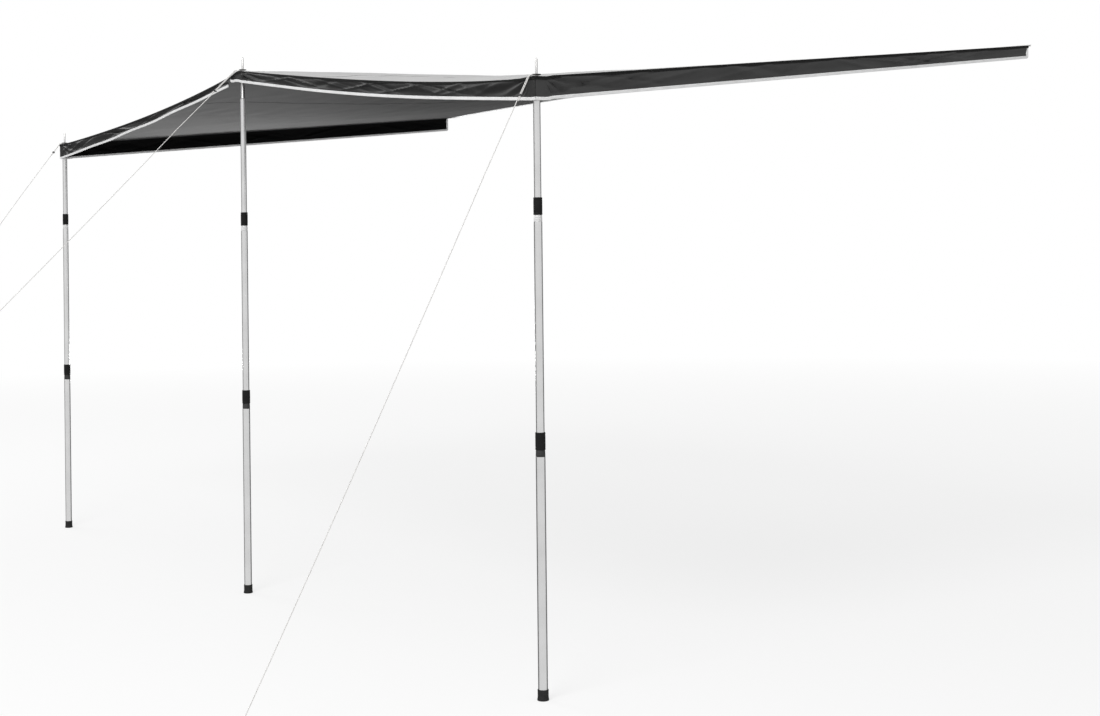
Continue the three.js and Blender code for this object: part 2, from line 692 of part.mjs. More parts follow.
// A flat slat with two holes, which both stretches of the line pass through.
function makeSlider(pole) {
  const frame = lineFrame(pole);
  const end = sliderDepth / 2;
  const straight = sliderWidth / 2 - end;
  const arc = (middle, from) => spaced(from, from + Math.PI, sliderEndSegments).map((angle) => (
    new THREE.Vector2(middle + end * Math.cos(angle), end * Math.sin(angle))));
  const slat = new THREE.Shape([...arc(straight, -Math.PI / 2), ...arc(-straight, Math.PI / 2)]);
  slat.holes = [loopRadius, -loopRadius].map((middle) => new THREE.Path(
    spaced(0, 2 * Math.PI, sliderHoleSegments).slice(0, -1).map((angle) => new THREE.Vector2(
      middle + sliderHole * Math.cos(angle), sliderHole * Math.sin(angle)))));
  const geometry = new THREE.ExtrudeGeometry(slat, { depth: sliderThickness, bevelEnabled: false });
  const across = new THREE.Vector3().crossVectors(frame.down, frame.aside);
  const turn = new THREE.Matrix4().makeBasis(frame.aside, across, frame.down);
  const mesh = piece(`${pole.name}_line_slider`, closedBody(geometry), blackPlastic);
  mesh.quaternion.setFromRotationMatrix(turn);
  mesh.position.copy(edgeBend(frame, 0)[bendSteps])
    .addScaledVector(frame.down, sliderFromEdge[pole.name] - sliderThickness / 2);
  return mesh;
}

// A steel peg with a hooked head, as far as it shows above the ground.
function makePeg(pole) {
  const frame = lineFrame(pole);
  const axis = pegAxis(frame);
  const away = new THREE.Vector3().crossVectors(axis, frame.aside).negate();
  const top = pegHeight / Math.cos(pegLean) - pegHookRadius;
  const at = (along, out) => frame.peg.clone().addScaledVector(axis, along).addScaledVector(away, out);
  const hook = spaced(0, Math.PI, pegHookSteps).map((angle) => (
    at(top + pegHookRadius * Math.sin(angle), pegHookRadius * (1 - Math.cos(angle)))));
  const points = [at(-cutOverrun - pegRadius, 0), ...hook, at(top - pegHookTip, 2 * pegHookRadius)];
  const whole = toSolid(barAlong(new Route(points), pegRadius, pegSides, points.length - 1));
  const soil = new THREE.BoxGeometry(4 * pegHeight, 4 * pegHeight, 4 * pegHeight);
  soil.translate(frame.peg.x, frame.peg.y, ground - 2 * pegHeight);
  return piece(`${pole.name}_peg`, fromSolid(whole.subtract(toSolid(soil))), zinc);
}

const canopy = new THREE.Group();
canopy.add(makeRoof(), makeKeder());
canopy.add(...makeFrontValance('left', -sideEdge, -notchStart));
canopy.add(...makeFrontValance('right', -notchEnd, sideEdge));
canopy.add(...makeSideValance('left', -1), ...makeSideValance('right', 1));
for (const pole of poles) canopy.add(makePole(pole), makeLine(pole), makeSlider(pole), makePeg(pole));

export default canopy;
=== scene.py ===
# Looks of a caravan's sun canopy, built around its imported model. Metres, in the model's own frame:
# the origin is the middle of the keder bead, +X runs along the rail, +Y into the wall and +Z up.

import json
import math
from types import SimpleNamespace

import bmesh
import bpy
import numpy as np
from mathutils import Matrix, Vector


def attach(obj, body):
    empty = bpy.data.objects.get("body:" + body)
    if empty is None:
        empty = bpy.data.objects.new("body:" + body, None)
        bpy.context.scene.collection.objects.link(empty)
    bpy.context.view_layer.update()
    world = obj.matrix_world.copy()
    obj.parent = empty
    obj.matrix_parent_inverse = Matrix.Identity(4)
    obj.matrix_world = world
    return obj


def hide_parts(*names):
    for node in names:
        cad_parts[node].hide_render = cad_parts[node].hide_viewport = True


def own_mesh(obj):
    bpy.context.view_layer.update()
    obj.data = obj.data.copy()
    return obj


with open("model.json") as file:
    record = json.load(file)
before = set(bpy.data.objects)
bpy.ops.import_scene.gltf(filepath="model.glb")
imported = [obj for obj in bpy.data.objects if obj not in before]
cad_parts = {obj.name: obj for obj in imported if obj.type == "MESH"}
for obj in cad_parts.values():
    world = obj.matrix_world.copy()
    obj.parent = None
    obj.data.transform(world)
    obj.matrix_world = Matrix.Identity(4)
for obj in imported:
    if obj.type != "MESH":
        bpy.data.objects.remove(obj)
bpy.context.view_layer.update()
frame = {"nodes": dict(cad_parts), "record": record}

MM = 0.001
TURN = 2 * math.pi
UP = np.array([0.0, 0.0, 1.0])

# Whole canopy
POLE_SPAN = 4.42
CANOPY_DEPTH = 2.45
RAIL_HEIGHT = 2.32
RAIL_ARCH = 0.04
CORNER_HEIGHT = {"left": 2.056, "right": 2.036}
RIDGE_HEIGHT = 2.25
EDGE_INSET = 20 * MM
SEAT_GAP = 0.3 * MM
HALF_SPAN = POLE_SPAN / 2
FRONT_EDGE = -CANOPY_DEPTH - EDGE_INSET
SIDE_EDGE = HALF_SPAN + EDGE_INSET
GROUND = -RAIL_HEIGHT
POLE_X = {"left": -HALF_SPAN, "middle": 0.0, "right": HALF_SPAN}

# Roof sheet
CAD_CLOTH = 1.6 * MM  # thickness of the solids' cloth
CLOTH = 0.9 * MM
BAY_SAG = 50 * MM
RIDGE_ROUNDING = 40 * MM
FRONT_ROLL = {"left": 36 * MM, "right": 27 * MM}
ROLL_FULLNESS = 0.65  # below 1, the droop sets in close to the poles
ROLL_OUTWARD_SHARES = {"left": -0.25, "right": 0.4}  # how much more of it hangs by the corner pole
ROLL_DEPTH = 500 * MM
PLATEAU = 22 * MM  # level patch round each eyelet
PLATEAU_BLEND = 40 * MM  # over which it turns into the slope
REAR_CLEARANCE = 14 * MM
HOLE_RADIUS = 7.1 * MM
ROOF_COLUMNS = 96  # in each half
ROOF_ROWS = 120

# Valances
CORNER_DROP = 66 * MM
RIDGE_DROP = 38 * MM
HEM_SAG = {"left": 16 * MM, "right": 23 * MM}
REAR_DROP = {"left": 64 * MM, "right": 40 * MM}
FOLD_DEPTH = 5 * MM
FRONT_FOLDS = 4
SIDE_FOLDS = 3
NOTCH_START = 104 * MM
NOTCH_END = 80 * MM
NOTCH_HEIGHT = 10 * MM
NOTCH_RUN = 110 * MM
BINDING_HEIGHT = 11 * MM
BINDING_HALF = 1.3 * MM  # half the thickness of the folded tape
CAD_BINDING = 3 * MM  # thickness of the solids' tape
VALANCE_STEP = 5 * MM
VALANCE_ROWS = 16

# Lines
LINE_RADIUS = 1.5 * MM
LOOP_RADIUS = 6.4 * MM
EDGE_BEND_RADIUS = 9 * MM
EDGE_BEND_LEAD = 2 * MM
STRAIGHT_RUN = 350 * MM
LINE_SAG = {"left": 16 * MM, "middle": 24 * MM, "right": 12 * MM}
SLIDER_FROM_EDGE = {"left": 55 * MM, "middle": 120 * MM, "right": 68 * MM}
SLIDER_THICKNESS = 6 * MM
PEG_OUT = {"left": 1.5, "middle": 1.85, "right": 0.95}
PEG_ALONG = {"left": -0.232, "middle": -1.469, "right": -0.251}
PEG_RADIUS = 3 * MM
PEG_LEAN = math.radians(25)
PEG_TURN = math.radians(280)
LINE_ON_PEG = 16 * MM
PEG_HEIGHT = 48 * MM
PEG_HOOK_RADIUS = 8 * MM
PEG_HOOK_TIP = 6 * MM

# Where the eyelets, washers and lines meet the sheet
EYELET_FLANGE = 1.1 * MM
FLANGE_FACE = CAD_CLOTH / 2 + SEAT_GAP + EYELET_FLANGE

# Camera, fitted to the picture, whose frame is PICTURE_WIDTH by PICTURE_HEIGHT
PICTURE_WIDTH = 1100
PICTURE_HEIGHT = 716
FOCAL_PIXELS = 1714.475
HORIZON_PIXEL = 245.61
SENSOR = 36.0
CAMERA_PLACE = (6.7956, -5.6608, -0.836)
CAMERA_YAW = -0.9531
CAMERA_ROLL = 0.0109
CLIP_NEAR = 0.05
CLIP_FAR = 200


def link_object(name, data):
    made = bpy.data.objects.new(name, data)
    bpy.context.scene.collection.objects.link(made)
    return made


def make_camera():
    data = bpy.data.cameras.new("camera")
    data.sensor_width = SENSOR
    data.sensor_fit = "HORIZONTAL"
    data.lens = FOCAL_PIXELS / PICTURE_WIDTH * SENSOR
    data.shift_y = (HORIZON_PIXEL - PICTURE_HEIGHT / 2) / PICTURE_WIDTH
    data.clip_start = CLIP_NEAR
    data.clip_end = CLIP_FAR
    camera = link_object("camera", data)
    ahead = Vector((math.sin(CAMERA_YAW), math.cos(CAMERA_YAW), 0))
    right = ahead.cross(Vector(UP))
    across = right * math.cos(CAMERA_ROLL) - Vector(UP) * math.sin(CAMERA_ROLL)
    upward = right * math.sin(CAMERA_ROLL) + Vector(UP) * math.cos(CAMERA_ROLL)
    turn = Matrix((across, upward, -ahead)).transposed()
    camera.matrix_world = Matrix.Translation(CAMERA_PLACE) @ turn.to_4x4()
    bpy.context.scene.camera = camera


make_camera()


# Numbers and lines of points

def smooth(low, high, value):
    """0 below low, 1 above high, and a smooth step between them."""
    share = np.clip((value - low) / (high - low), 0, 1)
    return share * share * (3 - 2 * share)


def unit(vectors):
    return vectors / np.linalg.norm(vectors, axis=-1, keepdims=True)


def points_at(x, y, z):
    return np.stack(np.broadcast_arrays(x, y, z), axis=-1)


def lengths_along(points):
    """How far along a line of points each of them lies."""
    steps = np.linalg.norm(np.diff(points, axis=0), axis=1)
    return np.concatenate([[0], np.cumsum(steps)])


def frames_along(points):
    """Unit tangents and two unit directions across a line of points, without twist."""
    tangent = unit(np.gradient(points, axis=0))
    side = np.cross(tangent[0], UP)
    if np.linalg.norm(side) < 0.1:
        side = np.cross(tangent[0], (0, 1, 0))
    sides = []
    for t in tangent:
        side = unit(side - t * side.dot(t))
        sides.append(side)
    return tangent, np.array(sides), np.cross(tangent, sides)


def spread_places(stops, step):
    """Places between stops, about step apart."""
    places = [stops[0]]
    for low, high in zip(stops, stops[1:]):
        count = max(1, round(abs(high - low) / step))
        places += list(np.linspace(low, high, count + 1)[1:])
    return np.array(places)


# Shape of the sheet

def by_side(values, x):
    return np.where(np.asarray(x) < 0, values["left"], values["right"])


def bay_shape(x):
    """0 at the poles and 1 halfway between two of them."""
    return np.sin(np.pi * np.minimum(np.abs(x) / HALF_SPAN, 1))


def front_fall(x):
    rounded = np.hypot(x, RIDGE_ROUNDING) - RIDGE_ROUNDING
    whole = math.hypot(HALF_SPAN, RIDGE_ROUNDING) - RIDGE_ROUNDING
    ridge_fall = RAIL_HEIGHT - RIDGE_HEIGHT
    corner_fall = RAIL_HEIGHT - by_side(CORNER_HEIGHT, x)
    return ridge_fall + (corner_fall - ridge_fall) * np.minimum(rounded / whole, 1)


def rail_fall(x):
    return RAIL_ARCH * (x / SIDE_EDGE) ** 2


def roof_height(x, y):
    reach = np.minimum(-y / CANOPY_DEPTH, 1)
    from_edge = np.minimum((y - FRONT_EDGE) / ROLL_DEPTH, 1)
    outward = 1 + by_side(ROLL_OUTWARD_SHARES, x) * (2 * np.abs(x) / HALF_SPAN - 1)
    roll = by_side(FRONT_ROLL, x) * bay_shape(x) ** ROLL_FULLNESS * outward * (1 - from_edge) ** 2
    sag = BAY_SAG * bay_shape(x) ** 2 * np.sin(np.pi * reach)
    return -reach * front_fall(x) - (1 - reach) * rail_fall(x) - roll - sag


EYELET_HEIGHT = {name: float(roof_height(x, -CANOPY_DEPTH)) for name, x in POLE_X.items()}

# Creases of the taut sheet
STAR_CREASES = {"left": 9, "middle": 13, "right": 9}
STAR_DEPTH = 3.4 * MM
STAR_START = 60 * MM
STAR_FULL = 170 * MM
STAR_FADE = 420 * MM
STAR_TWIST = 1.4
STAR_TWIST_LENGTH = 230 * MM
RAIL_RIPPLE = 1.5 * MM
RAIL_RIPPLE_LENGTH = 145 * MM
RAIL_RIPPLE_SWELL = 1.9  # along the rail, from one swell of the ripples to the next
RAIL_RIPPLE_SLANT = 2.1
RIPPLE_DRIFTS = ((60 * MM, 1.3, 0.6), (25 * MM, 0.41, 0))  # height, length and phase of their wander
FINE_RIPPLE = 0.8 * MM
FINE_LENGTHS = np.geomspace(0.5, 0.08, 7)
FINE_SEED = 4
FOLD_LINE_DEPTH = 1.1 * MM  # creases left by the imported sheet's folds
FOLD_LINE_HALF = 9 * MM
FOLD_LINES_ALONG = 8
FOLD_LINES_DEEP = 4
# Where the creases end and where they are whole, from each edge and from the eyelets
FRONT_CALM = (0, 50 * MM)
SIDE_CALM = (0, 60 * MM)
REAR_CALM = (30 * MM, 120 * MM)
EYELET_CALM = (30 * MM, 75 * MM)


def fine_ripples(x, y):
    """Smooth noise from a few plane waves, about -1 to 1."""
    random = np.random.default_rng(FINE_SEED)
    total = np.zeros(np.broadcast(x, y).shape)
    for length in FINE_LENGTHS:
        angle = random.uniform(0, TURN)
        phase = random.uniform(0, TURN)
        along = x * math.cos(angle) + y * math.sin(angle)
        total = total + np.sin(TURN * along / length + phase) * (length / FINE_LENGTHS[0]) ** 0.7
    return total / 2.2


def roof_creases(x, y):
    """How far the creases lift the sheet. They fade out towards its sewn edges."""
    lift = np.zeros(np.broadcast(x, y).shape)
    inside = smooth(*FRONT_CALM, y - FRONT_EDGE) * smooth(*SIDE_CALM, SIDE_EDGE - np.abs(x))
    inside = inside * smooth(*REAR_CALM, -y)
    for name, pole_x in POLE_X.items():
        away = np.hypot(x - pole_x, y + CANOPY_DEPTH)
        angle = np.arctan2(y + CANOPY_DEPTH, x - pole_x)
        twist = STAR_TWIST * np.sin(2 * angle + away / STAR_TWIST_LENGTH)
        strength = smooth(STAR_START, STAR_FULL, away) * np.exp(-away / STAR_FADE)
        lift = lift + STAR_DEPTH * np.sin(STAR_CREASES[name] * angle + twist) * strength
        inside = inside * smooth(*EYELET_CALM, away)
    drift = sum(height * np.sin(TURN * x / length + phase) for height, length, phase in RIPPLE_DRIFTS)
    swell = np.sin(TURN * x / RAIL_RIPPLE_SWELL + y * RAIL_RIPPLE_SLANT)
    lift = lift + RAIL_RIPPLE * np.sin(TURN * (y + drift) / RAIL_RIPPLE_LENGTH) * swell * bay_shape(x)
    lift = lift + FINE_RIPPLE * fine_ripples(x, y)
    across = (x, -SIDE_EDGE, SIDE_EDGE, FOLD_LINES_ALONG)
    deep = (y, 0, FRONT_EDGE, FOLD_LINES_DEEP)
    for place, start, end, count in (across, deep):
        for i in range(1, count):
            line = start + (end - start) * i / count
            lift = lift + FOLD_LINE_DEPTH * (-1) ** i * np.exp(-(((place - line) / FOLD_LINE_HALF) ** 2))
    return lift * inside


def sheet_height(x, y):
    """Height of the sheet's middle surface, creases included."""
    height = roof_height(x, y) + roof_creases(x, y)
    for name, pole_x in POLE_X.items():
        away = np.hypot(x - pole_x, y + CANOPY_DEPTH)
        level = 1 - smooth(PLATEAU, PLATEAU + PLATEAU_BLEND, away)
        height = height * (1 - level) + EYELET_HEIGHT[name] * level
    return height


# Meshes

def new_object(name, points, faces, materials, slots=None, uv=None):
    """A smooth-shaded piece. slots are its faces' materials, and uv is a map of its vertices."""
    mesh = bpy.data.meshes.new(name)
    mesh.from_pydata(np.reshape(points, (-1, 3)).tolist(), [], faces)
    for material in materials:
        mesh.materials.append(material)
    if slots is not None:
        mesh.polygons.foreach_set("material_index", np.asarray(slots, np.int32))
    mesh.polygons.foreach_set("use_smooth", np.ones(len(faces), bool))
    if uv is not None:
        layer = mesh.uv_layers.new(name="along")
        corner = np.zeros(len(mesh.loops), np.int32)
        mesh.loops.foreach_get("vertex_index", corner)
        layer.data.foreach_set("uv", np.reshape(uv, (-1, 2))[corner].astype(np.float32).ravel())
    mesh.update()
    return link_object(name, mesh)


def solid(name, points, faces, materials, sharp=None, **rest):
    """A closed piece with its faces turned outward. Edges past sharp degrees stay crisp."""
    made = new_object(name, points, faces, materials, **rest)
    mesh = made.data
    mesh.calc_loop_triangles()
    corners = np.array([v.co for v in mesh.vertices])
    triangles = np.array([t.vertices for t in mesh.loop_triangles])
    a, b, c = (corners[triangles[:, i]] for i in range(3))
    if np.einsum("ij,ij->i", a, np.cross(b, c)).sum() < 0:
        mesh.flip_normals()
    if sharp:
        mesh.set_sharp_from_angle(angle=math.radians(sharp))
    return made


def shell(name, top, bottom, materials, sharp, kept=None):
    """A closed sheet between two grids of points, with materials for top, bottom and rim."""
    rows, columns = top.shape[:2]
    count = rows * columns
    index = np.arange(count).reshape(rows, columns)
    kept = np.ones((rows - 1, columns - 1), bool) if kept is None else kept
    upper = np.stack([index[:-1, :-1], index[:-1, 1:], index[1:, 1:], index[1:, :-1]], axis=-1)[kept]
    lower = upper[:, ::-1] + count
    edges = {}
    for quad in upper:
        for a, b in zip(quad, np.roll(quad, -1)):
            if edges.pop((b, a), None) is None:
                edges[(a, b)] = True
    rim = np.array([(b, a, a + count, b + count) for a, b in edges])
    points = np.concatenate([top.reshape(-1, 3), bottom.reshape(-1, 3)])
    used, faces = np.unique(np.concatenate([upper, lower, rim]), return_inverse=True)
    slots = np.repeat([0, 1, 2], [len(upper), len(lower), len(rim)])
    return solid(name, points[used], faces.reshape(-1, 4).tolist(), materials, sharp, slots=slots)


def both_faces(grid, normal, thickness):
    """A grid of points moved half a thickness each way."""
    return grid + normal * thickness / 2, grid - normal * thickness / 2


def grid_normals(grid):
    return unit(np.cross(np.gradient(grid, axis=1), np.gradient(grid, axis=0)))


def lathe(name, profile, sides, material, place=(0, 0, 0), sharp=38):
    """A body turned about Z from a closed profile of (radius, height). Points on the axis are shared."""
    angles = np.linspace(0, TURN, sides, endpoint=False)
    rings = []
    points = []
    for radius, height in profile:
        turned = sides if radius else 1
        rings.append([len(points) + j % turned for j in range(sides)])
        points += [(radius * math.cos(a), radius * math.sin(a), height) for a in angles[:turned]]
    faces = []
    for low, high in zip(rings, rings[1:] + rings[:1]):
        for j in range(sides):
            k = (j + 1) % sides
            face = list(dict.fromkeys((low[j], low[k], high[k], high[j])))
            if len(face) > 2:
                faces.append(face)
    return solid(name, np.array(points) + place, faces, [material], sharp)


def bar_faces(rows, sides, turned=0):
    """Faces of a closed bar, from rows of points round it. turned moves each quad's first corner."""
    index = np.arange(rows * sides).reshape(rows, sides)
    after = np.roll(index, -1, axis=1)
    quads = np.stack([after[:-1], after[1:], index[1:], index[:-1]], axis=-1)
    quads = np.roll(quads, turned, axis=-1).reshape(-1, 4)
    return quads.tolist() + [index[0, ::-1].tolist(), index[-1].tolist()]


def tube(name, points, radius, sides, material, radii=None):
    """A round bar along a line of points, with closed ends and a map of lengths along it."""
    _, first, second = frames_along(points)
    angles = np.linspace(0, TURN, sides, endpoint=False)
    radii = np.full(len(points), radius) if radii is None else radii
    ring = first[:, None] * np.cos(angles)[:, None] + second[:, None] * np.sin(angles)[:, None]
    body = points[:, None] + ring * radii[:, None, None]
    around = np.broadcast_arrays(angles[None] / TURN, lengths_along(points)[:, None])
    return solid(name, body, bar_faces(len(points), sides), [material], uv=np.stack(around, axis=-1))


def settle(piece, body, node=None):
    """Puts a piece on its body, and in the place of a solid where one is named."""
    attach(piece, body)
    if node:
        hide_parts(node)
    return piece


# Materials

class Graph:
    """A node tree being built. A value that is another node's output is linked."""

    def __init__(self, owner):
        owner.use_nodes = True
        self.tree = owner.node_tree
        self.places = self.add("TexCoord").outputs

    def put(self, socket, value):
        if isinstance(value, bpy.types.NodeSocket):
            self.tree.links.new(value, socket)
        else:
            socket.default_value = value

    def fill(self, made, values):
        """Sets a node's sockets by name, and its properties by names that start with p_."""
        for name, value in values.items():
            if name.startswith("p_"):
                setattr(made, name[2:], value)
            else:
                self.put(made.inputs[name.replace("_", " ")], value)

    def add(self, kind, **values):
        made = self.tree.nodes.new(f"ShaderNode{kind}")
        self.fill(made, values)
        return made

    def calc(self, operation, *values, kind="Math"):
        made = self.add(kind, p_operation=operation)
        for socket, value in zip(made.inputs, values):
            self.put(socket, value)
        return made.outputs["Value"]

    def noise(self, scale, detail, vector=None):
        vector = vector or self.places["Object"]
        return self.add("TexNoise", Vector=vector, Scale=scale, Detail=detail).outputs["Fac"]

    def bands(self, scale, axis):
        place = self.places["Object"]
        made = self.add("TexWave", Vector=place, Scale=scale, p_wave_type="BANDS", p_bands_direction=axis)
        return made.outputs["Fac"]

    def between(self, factor, low, high, start=0, end=1):
        made = self.add("MapRange", Value=factor, From_Min=start, From_Max=end, To_Min=low, To_Max=high)
        return made.outputs["Result"]

    def ramp(self, factor, stops):
        """A colour by a factor, from stops of (place, colour)."""
        made = self.add("ValToRGB", Fac=factor)
        elements = made.color_ramp.elements
        for element, (place, colour) in zip(elements, (stops[0], stops[-1])):
            element.position = place
            element.color = colour
        for place, colour in stops[1:-1]:
            elements.new(place).color = colour
        return made.outputs["Color"]

    def surface(self, shades, spots, height, strength, distance):
        """Colours the shader between two shades by noise, and raises its bumps by a height."""
        colour = self.ramp(self.noise(spots, detail=4), list(zip((0.3, 0.7), shades)))
        relief = self.add("Bump", Height=height, Strength=strength, Distance=distance)
        self.fill(self.shader, {"Base_Color": colour, "Normal": relief.outputs["Normal"]})

    def seen(self):
        """1 for what the camera sees by itself, mirrored or through glass."""
        path = self.add("LightPath").outputs
        straight = self.calc("MAXIMUM", path["Is Camera Ray"], path["Is Glossy Ray"])
        return self.calc("MAXIMUM", straight, path["Is Transmission Ray"])

    def mix_out(self, factor, first, second, output):
        """Sends a mix of two shaders to the tree's output."""
        mix = self.add("MixShader", Fac=factor)
        self.put(mix.inputs[1], first)
        self.put(mix.inputs[2], second)
        self.put(self.tree.nodes[output].inputs["Surface"], mix.outputs["Shader"])


def new_material(name, **values):
    """A material and its node tree, with the shader's sockets set by name."""
    material = bpy.data.materials.new(name)
    graph = Graph(material)
    graph.shader = graph.tree.nodes["Principled BSDF"]
    graph.fill(graph.shader, values)
    return material, graph


def grey(value, warm=0.0):
    return (value * (1 + warm), value, value * (1 - warm), 1)


def greys(low, high, warm=0.0):
    return grey(low, warm), grey(high, warm)


WEAVE_SCALE = 1 / (0.9 * MM * 10)  # of the wave texture, for threads 0.9 mm apart
RIB_SCALE = 1 / (1.1 * MM * 10)
BRAID_PITCH = 2.2 * MM
BRAID_STRANDS = 4
BUMP_HEIGHT = 0.3 * MM
GRAIN_HEIGHT = 0.2 * MM
BRAID_HEIGHT = 0.35 * MM


def cloth_material(name, shades, roughness, sheen, first="X", second="Y", specular=0.35):
    """Woven cloth. Its threads run along two axes of the model's frame."""
    material, graph = new_material(
        name, Roughness=roughness, Sheen_Weight=sheen, Sheen_Roughness=0.4, Specular_IOR_Level=specular,
    )
    weave = graph.calc("MULTIPLY", graph.bands(WEAVE_SCALE, first), graph.bands(WEAVE_SCALE, second))
    height = graph.calc("ADD", weave, graph.noise(scale=180, detail=3))
    graph.surface(shades, 5, height, 0.25, BUMP_HEIGHT)
    return material


def tape_material(name, shades, axis):
    """Ribbed binding tape, whose ribs cross it along an axis."""
    material, graph = new_material(name, Roughness=0.72, Sheen_Weight=0.25)
    graph.surface(shades, 26, graph.bands(RIB_SCALE, axis), 0.4, BUMP_HEIGHT)
    return material


def metal_material(name, shades, roughness, streak=(700, 700, 6)):
    """Metal with fine streaks. streak is the noise's scale along X, Y and Z."""
    material, graph = new_material(name, Metallic=1)
    stretch = graph.add("Mapping", Vector=graph.places["Object"], Scale=streak)
    streaks = graph.noise(scale=1, detail=5, vector=stretch.outputs["Vector"])
    rough = graph.between(streaks, roughness - 0.06, roughness + 0.06)
    graph.fill(graph.shader, {"Roughness": rough})
    graph.surface(shades, 9, streaks, 0.04, GRAIN_HEIGHT)
    return material


def moulded_material(name, shades, roughness, grain=900, bump=0.12, specular=0.5):
    """Moulded plastic or rubber with a fine grain."""
    material, graph = new_material(name, Specular_IOR_Level=specular)
    speckle = graph.noise(scale=grain, detail=2)
    rough = graph.between(speckle, roughness - 0.06, roughness + 0.08)
    graph.fill(graph.shader, {"Roughness": rough})
    graph.surface(shades, 40, speckle, bump, GRAIN_HEIGHT)
    return material


def cord_material():
    """Braided cord: two sets of strands that wind opposite ways, from the map of lengths."""
    material, graph = new_material("braided_cord", Roughness=0.75, Sheen_Weight=0.3)
    around = graph.add("UVMap", p_uv_map="along")
    parts = graph.add("SeparateXYZ", Vector=around.outputs["UV"]).outputs
    waves = []
    for winding in (1, -1):
        turned = graph.calc("MULTIPLY", parts["X"], winding * BRAID_STRANDS * TURN)
        run = graph.calc("MULTIPLY_ADD", parts["Y"], TURN / BRAID_PITCH, turned)
        waves.append(graph.calc("SINE", run))
    braid = graph.calc("MAXIMUM", *waves)
    relief = graph.add("Bump", Height=braid, Strength=0.6, Distance=BRAID_HEIGHT)
    # The colour darkens with the braid's height into the grooves between strands: painted shade.
    colour = graph.ramp(braid, list(zip((0.1, 0.75), greys(0.42, 0.85, 0.02))))
    graph.fill(graph.shader, {"Base_Color": colour, "Normal": relief.outputs["Normal"]})
    return material


def floor_material():
    """A floor that lights its own shaded look up to white for what is seen, and is all white far away."""
    material, graph = new_material("floor_white", Base_Color=grey(0.8), Roughness=0.9)
    glow = graph.add("Emission", Strength=1)
    far = graph.calc("LENGTH", graph.places["Object"], kind="VectorMath")
    fade = graph.between(far, FLOOR_GLOW_SHARE, 1, *FLOOR_FADE)
    share = graph.calc("MULTIPLY", graph.seen(), fade)
    graph.mix_out(share, graph.shader.outputs["BSDF"], glow.outputs["Emission"], "Material Output")
    return material


OUTER = cloth_material("cloth_outer", greys(0.42, 0.48), 0.55, 0.2)
# The sheet's underside is the same cloth as its top, given a ten times darker shade: painted shade for the
# shadow under the roof.
UNDER_SHADE = cloth_material("cloth_under_painted_shade", greys(0.042, 0.052), 0.8, 0, specular=0.06)
# The fold of the sheet over its edge is the same cloth, made near-black: painted shade for the dark band
# under the edge's shoulder.
FOLD_SHADE_CLOTH = cloth_material("cloth_fold_painted_shade", greys(0.007, 0.011), 0.7, 0, specular=0.1)
# The front and side valances are one cloth, given different shades here: painted light and shade for how
# each strip is lit, the side strips lighter.
FRONT_CLOTH = cloth_material("cloth_front", greys(0.013, 0.024), 0.45, 0, "X", "Z", 0.15)
SIDE_CLOTH = cloth_material("cloth_side", greys(0.03, 0.042), 0.45, 0.1, "Y", "Z", 0.2)
# The valances' inner faces are the same cloth as their outer faces, made near-black: painted shade for
# their shaded inside.
INNER_SHADE_CLOTH = cloth_material("cloth_inner_painted_shade", greys(0.003, 0.005), 0.8, 0, "Y", "Z", 0.05)
FRONT_TAPE = tape_material("tape_front", greys(0.62, 0.7), "X")
SIDE_TAPE = tape_material("tape_side", greys(0.7, 0.78), "Y")
KEDER_TAPE = tape_material("tape_keder", greys(0.5, 0.58), "X")
DARK_THREAD = moulded_material("dark_thread", greys(0.03, 0.05), 0.7)
WHITE_THREAD = moulded_material("white_thread", greys(0.7, 0.8), 0.7)
STEEL = metal_material("tube_steel", greys(0.6, 0.68), 0.28)
ZINC = metal_material("zinc_plate", greys(0.4, 0.52, 0.01), 0.4, (60, 60, 60))
BLACK = moulded_material("black_plastic", greys(0.005, 0.009), 0.42, specular=0.12)
GREY = moulded_material("grey_plastic", greys(0.028, 0.04), 0.5, specular=0.2)
PALE = moulded_material("pale_plastic", greys(0.58, 0.66), 0.4)
RUBBER = moulded_material("black_rubber", greys(0.01, 0.016), 0.72, 500, 0.2, 0.3)
CORD = cord_material()


# Guy lines

LOOP_STEPS = 24
BEND_STEPS = 10
RUN_STEPS = 36
PEG_STEPS = 44
LINE_SIDES = 14
KNOT_SIZE = 1.35 * MM
KNOT_STEPS = 61
KNOT_CORD_SHARE = 0.86  # of the line's radius, where a knot pulls it tight
KNOT_TIGHT_SHARE = 0.72
KNOT_TILT = (0.31, 0.2, 0.93)
KNOT_GAP = 3.2 * MM  # from the slider's face to its stopper knot's middle
TAIL_STUB = 13 * MM
STUB_SWAY = 1.5 * MM
STUB_DROOP = 1.2 * MM
STUB_SIZE_SHARES = np.array([1, 1, 1, 1, 1, 1.06, 1.1, 0.75])
PEG_TIP_PLACE_SHARES = np.array([0.5, 0.85, 0.96, 1])
PEG_TIP_SIZE_SHARES = np.array([0.97, 0.8, 0.5])
PEG_HOOK_LEAD = 4 * MM


